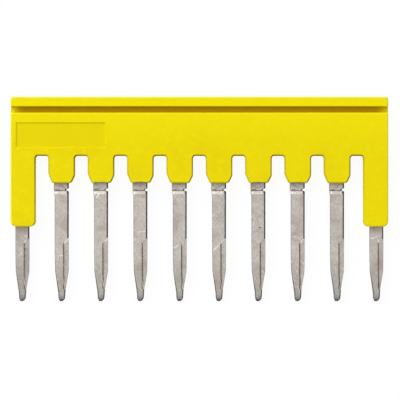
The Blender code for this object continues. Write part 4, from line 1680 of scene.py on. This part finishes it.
class CombTree:
    """Geometry Nodes tree that sets the poles in a row and welds them into one comb."""

    WELD_DISTANCE = 0.002 * MM
    NOISE_MIDDLE = (0.5, 0.5, 0.5)
    INPUTS = (("Left End", "NodeSocketObject"), ("Inner Pole", "NodeSocketObject"),
              ("Right End", "NodeSocketObject"), ("Inner Count", "NodeSocketInt"),
              ("Pitch", "NodeSocketFloat"), ("Burr Height", "NodeSocketFloat"),
              ("Burr Scale", "NodeSocketFloat"), ("Burr Seed", "NodeSocketFloat"),
              ("Finish", "NodeSocketMaterial"))

    def __init__(self) -> None:
        """Build the tree with its named inputs."""
        self.tree = bpy.data.node_groups.new("row_of_poles", "GeometryNodeTree")
        interface = self.tree.interface
        interface.new_socket("Geometry", in_out="INPUT", socket_type="NodeSocketGeometry")
        self.sockets = {name: interface.new_socket(name, in_out="INPUT", socket_type=kind)
                        for name, kind in self.INPUTS}
        interface.new_socket("Geometry", in_out="OUTPUT", socket_type="NodeSocketGeometry")
        self.canvas = NodeCanvas(self.tree)
        self.wire()

    def wire(self) -> None:
        """Place poles along the row, weld their spines, roughen the sheared edges."""
        canvas = self.canvas
        given = canvas.add("NodeGroupInput").outputs
        result = canvas.add("NodeGroupOutput").inputs
        half_pitch = canvas.times(given["Pitch"], 0.5)
        start = canvas.times(half_pitch, canvas.math("SUBTRACT", 1.0, given["Inner Count"]))
        end = canvas.times(half_pitch, canvas.math("ADD", given["Inner Count"], 1.0))
        line = canvas.add("GeometryNodeMeshLine", {
            "Count": given["Inner Count"],
            "Start Location": canvas.add("ShaderNodeCombineXYZ", {"X": start}).outputs[0],
            "Offset": canvas.add("ShaderNodeCombineXYZ", {"X": given["Pitch"]}).outputs[0]})
        inner = canvas.add("GeometryNodeObjectInfo", {"Object": given["Inner Pole"]})
        row = canvas.add("GeometryNodeInstanceOnPoints", {
            "Points": line.outputs[0], "Instance": inner.outputs["Geometry"]})
        join = canvas.add("GeometryNodeJoinGeometry")
        canvas.tree.links.new(row.outputs[0], join.inputs[0])
        for name, sign in (("Left End", -1.0), ("Right End", 1.0)):
            info = canvas.add("GeometryNodeObjectInfo", {"Object": given[name]})
            place = canvas.add("ShaderNodeCombineXYZ", {
                "X": canvas.times(end, sign)}).outputs[0]
            moved = canvas.add("GeometryNodeTransform", {
                "Geometry": info.outputs["Geometry"], "Translation": place})
            canvas.tree.links.new(moved.outputs[0], join.inputs[0])
        loose = canvas.add("GeometryNodeRealizeInstances", {0: join.outputs[0]})
        welded = canvas.add("GeometryNodeMergeByDistance", {
            "Geometry": loose.outputs[0], "Distance": self.WELD_DISTANCE})
        rough = canvas.add("GeometryNodeSetPosition", {
            "Geometry": welded.outputs[0], "Offset": self.burr(given)})
        whole = canvas.add("GeometryNodeRealizeInstances", {0: rough.outputs[0]})
        dressed = canvas.add("GeometryNodeSetMaterial", {
            "Geometry": whole.outputs[0], "Material": given["Finish"]})
        canvas.feed(result["Geometry"], dressed.outputs[0])

    def burr(self, given: bpy.types.bpy_prop_collection) -> Socket:
        """Small offset of the sheared edges, different on each pin.

        Args:
            given: The tree's inputs.

        Returns:
            The offset for each point.
        """
        canvas = self.canvas
        edge = canvas.add("GeometryNodeInputNamedAttribute", {"Name": "edge"}, data_type="FLOAT")
        place = canvas.add("GeometryNodeInputPosition").outputs[0]
        uneven = canvas.add("ShaderNodeTexNoise", {
            "Vector": place, "W": given["Burr Seed"], "Scale": given["Burr Scale"]},
            noise_dimensions="4D")
        centred = canvas.vector("SUBTRACT", uneven.outputs["Color"], self.NOISE_MIDDLE)
        amount = canvas.times(edge.outputs["Attribute"], given["Burr Height"])
        scale = canvas.add("ShaderNodeVectorMath", {0: centred, "Scale": amount},
                           operation="SCALE")
        return scale.outputs[0]

    def run(self, values: dict[str, object], name: str) -> bpy.types.Object:
        """Make one plain mesh object from the tree.

        Args:
            values: A value for each named input.
            name: Name of the finished object.

        Returns:
            The comb, without its modifier.
        """
        obj = bpy.data.objects.new(name, bpy.data.meshes.new(name))
        bpy.context.scene.collection.objects.link(obj)
        modifier = obj.modifiers.new("row", "NODES")
        modifier.node_group = self.tree
        for label, value in values.items():
            modifier[self.sockets[label].identifier] = value
        bake_modifiers(obj)
        return obj


@dataclass
class ContactComb:
    """Tin-plated comb: ten split spring pins on one hidden spine."""

    burr_height: float = 0.05 * MM
    burr_scale: float = 4200.0
    burr_seed: float = 7.0
    smooth_angle: float = 28.0

    def build(self, finish: bpy.types.Material) -> bpy.types.Object:
        """Build and dress the comb.

        Args:
            finish: The plating.

        Returns:
            The finished piece, which stands for the contact comb.
        """
        poles = {kind: SpringPin(kind).build() for kind in PoleKind}
        comb = CombTree().run({
            "Left End": poles[PoleKind.LEFT_END], "Inner Pole": poles[PoleKind.INNER],
            "Right End": poles[PoleKind.RIGHT_END], "Inner Count": POLE_COUNT - 2,
            "Pitch": POLE_PITCH, "Burr Height": self.burr_height,
            "Burr Scale": self.burr_scale, "Burr Seed": self.burr_seed,
            "Finish": finish}, "spring_pin_comb")
        for pole in poles.values():
            bpy.data.objects.remove(pole)
        face_outward(comb)
        smooth_faces(comb, self.smooth_angle)
        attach(comb, BODY)
        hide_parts("contact_comb")
        return comb


# Studio


@dataclass(frozen=True)
class SoftLight:
    """One square area lamp that points at the bar."""

    name: str
    place: tuple
    size: float
    power: float
    colour: tuple = (1.0, 1.0, 1.0)

    def build(self) -> bpy.types.Object:
        """Hang the lamp and aim it at the bar's middle.

        Returns:
            The lamp.
        """
        lamp = bpy.data.lights.new(self.name, "AREA")
        lamp.size = self.size
        lamp.energy = self.power
        lamp.color = self.colour
        obj = bpy.data.objects.new(self.name, lamp)
        obj.location = self.place
        obj.rotation_euler = (-Vector(self.place)).to_track_quat("-Z", "Y").to_euler()
        bpy.context.scene.collection.objects.link(obj)
        return obj


@dataclass
class Studio:
    """Pale floor, soft lamps, plain world and the camera straight above the bar."""

    lens: float = 400.0
    sensor: float = 36.0
    view_width: float = 61.93 * MM
    aim: tuple = (0.09 * MM, -0.14 * MM)
    clip: tuple = (0.01, 10.0)
    floor_half: float = 3.0
    floor_tones: tuple = ((0.86, 0.86, 0.86, 1.0), (0.90, 0.90, 0.90, 1.0))
    floor_cloud_scale: float = 30.0
    floor_roughness: float = 0.9
    floor_glow: float = 1.02
    floor_glow_share: float = 0.92
    world_level: float = 0.47
    lamps: tuple = (
        SoftLight("key_light", (-0.56, 0.55, 0.70), 1.20, 10.9),
        SoftLight("overhead_light", (0.0, 0.05, 1.15), 1.10, 0.9),
        SoftLight("fill_light", (0.75, -0.35, 0.60), 0.8, 0.3),
    )

    def build(self) -> None:
        """Set up everything round the bar."""
        self.build_floor()
        self.build_world()
        for lamp in self.lamps:
            lamp.build()
        self.build_camera()
        bpy.context.scene.view_settings.view_transform = "Standard"

    def build_floor(self) -> bpy.types.Object:
        """Flat pale floor under the bar, white to the camera, with a faint shadow.

        Returns:
            The floor.
        """
        bm = bmesh.new()
        bmesh.ops.create_grid(bm, x_segments=1, y_segments=1, size=self.floor_half)
        floor = object_from(bm, "studio_floor")
        material, canvas, matte = new_material("pale_floor")
        place = canvas.add("ShaderNodeTexCoord").outputs["Object"]
        clouds = canvas.noise(place, self.floor_cloud_scale)
        canvas.feed(matte.inputs["Base Color"], canvas.blend(clouds, *self.floor_tones))
        matte.inputs["Roughness"].default_value = self.floor_roughness
        matte.inputs["Specular IOR Level"].default_value = 0.0
        glow = canvas.add("ShaderNodeEmission", {"Color": WHITE, "Strength": self.floor_glow})
        share = canvas.times(self.seen_rays(canvas), self.floor_glow_share)
        mix = canvas.add("ShaderNodeMixShader", {
            "Fac": share, 1: matte.outputs[0], 2: glow.outputs[0]})
        output = material.node_tree.nodes["Material Output"]
        material.node_tree.links.new(mix.outputs[0], output.inputs["Surface"])
        floor.data.materials.append(material)
        return floor

    def build_world(self) -> None:
        """Even soft light from all round, white where the camera sees it."""
        world = bpy.data.worlds.new("soft_room")
        world.use_nodes = True
        canvas = NodeCanvas(world.node_tree)
        sky = world.node_tree.nodes["Background"]
        sky.inputs["Color"].default_value = WHITE
        canvas.feed(sky.inputs["Strength"], canvas.rescale(
            self.seen_rays(canvas), 0.0, 1.0, self.world_level, 1.0))
        bpy.context.scene.world = world

    @staticmethod
    def seen_rays(canvas: NodeCanvas) -> Socket:
        """One for rays from the camera, a reflection or glass, which see the white room.

        Args:
            canvas: Canvas of the material's or the world's tree.

        Returns:
            One for such rays, zero for the light on the bar.
        """
        rays = canvas.add("ShaderNodeLightPath").outputs
        mirrored = canvas.math("MAXIMUM", rays["Is Glossy Ray"], rays["Is Transmission Ray"])
        return canvas.math("MAXIMUM", rays["Is Camera Ray"], mirrored)

    def build_camera(self) -> bpy.types.Object:
        """Long lens straight above the bar, top of the picture towards the push edge.

        Returns:
            The camera.
        """
        camera = bpy.data.cameras.new("camera")
        camera.lens = self.lens
        camera.sensor_width = self.sensor
        obj = bpy.data.objects.new("camera", camera)
        distance = self.view_width * self.lens / self.sensor
        obj.location = (*self.aim, FRONT_Z + distance)
        camera.clip_start, camera.clip_end = self.clip
        bpy.context.scene.collection.objects.link(obj)
        bpy.context.scene.camera = obj
        return obj


def report(piece: bpy.types.Object) -> None:
    """Log a finished piece, its faces and its size."""
    size = [round(length / MM, 2) for length in piece.dimensions]
    LOG.info("%s: %d faces, %s mm", piece.name, len(piece.data.polygons), size)


def main() -> None:
    """Build the studio and the bar's pieces in order, and note the two boxes."""
    logging.basicConfig(level=logging.INFO, format="%(name)s %(message)s")
    Studio().build()
    effects = SurfaceEffects()
    pieces = (
        MouldedBody().build(YellowMoulding().material(effects)),
        ContactComb().build(TinPlate().material(effects, SurfaceMark.all())),
    )
    bpy.context.view_layer.update()
    for piece in pieces:
        report(piece)


if __name__ == "__main__":
    main()
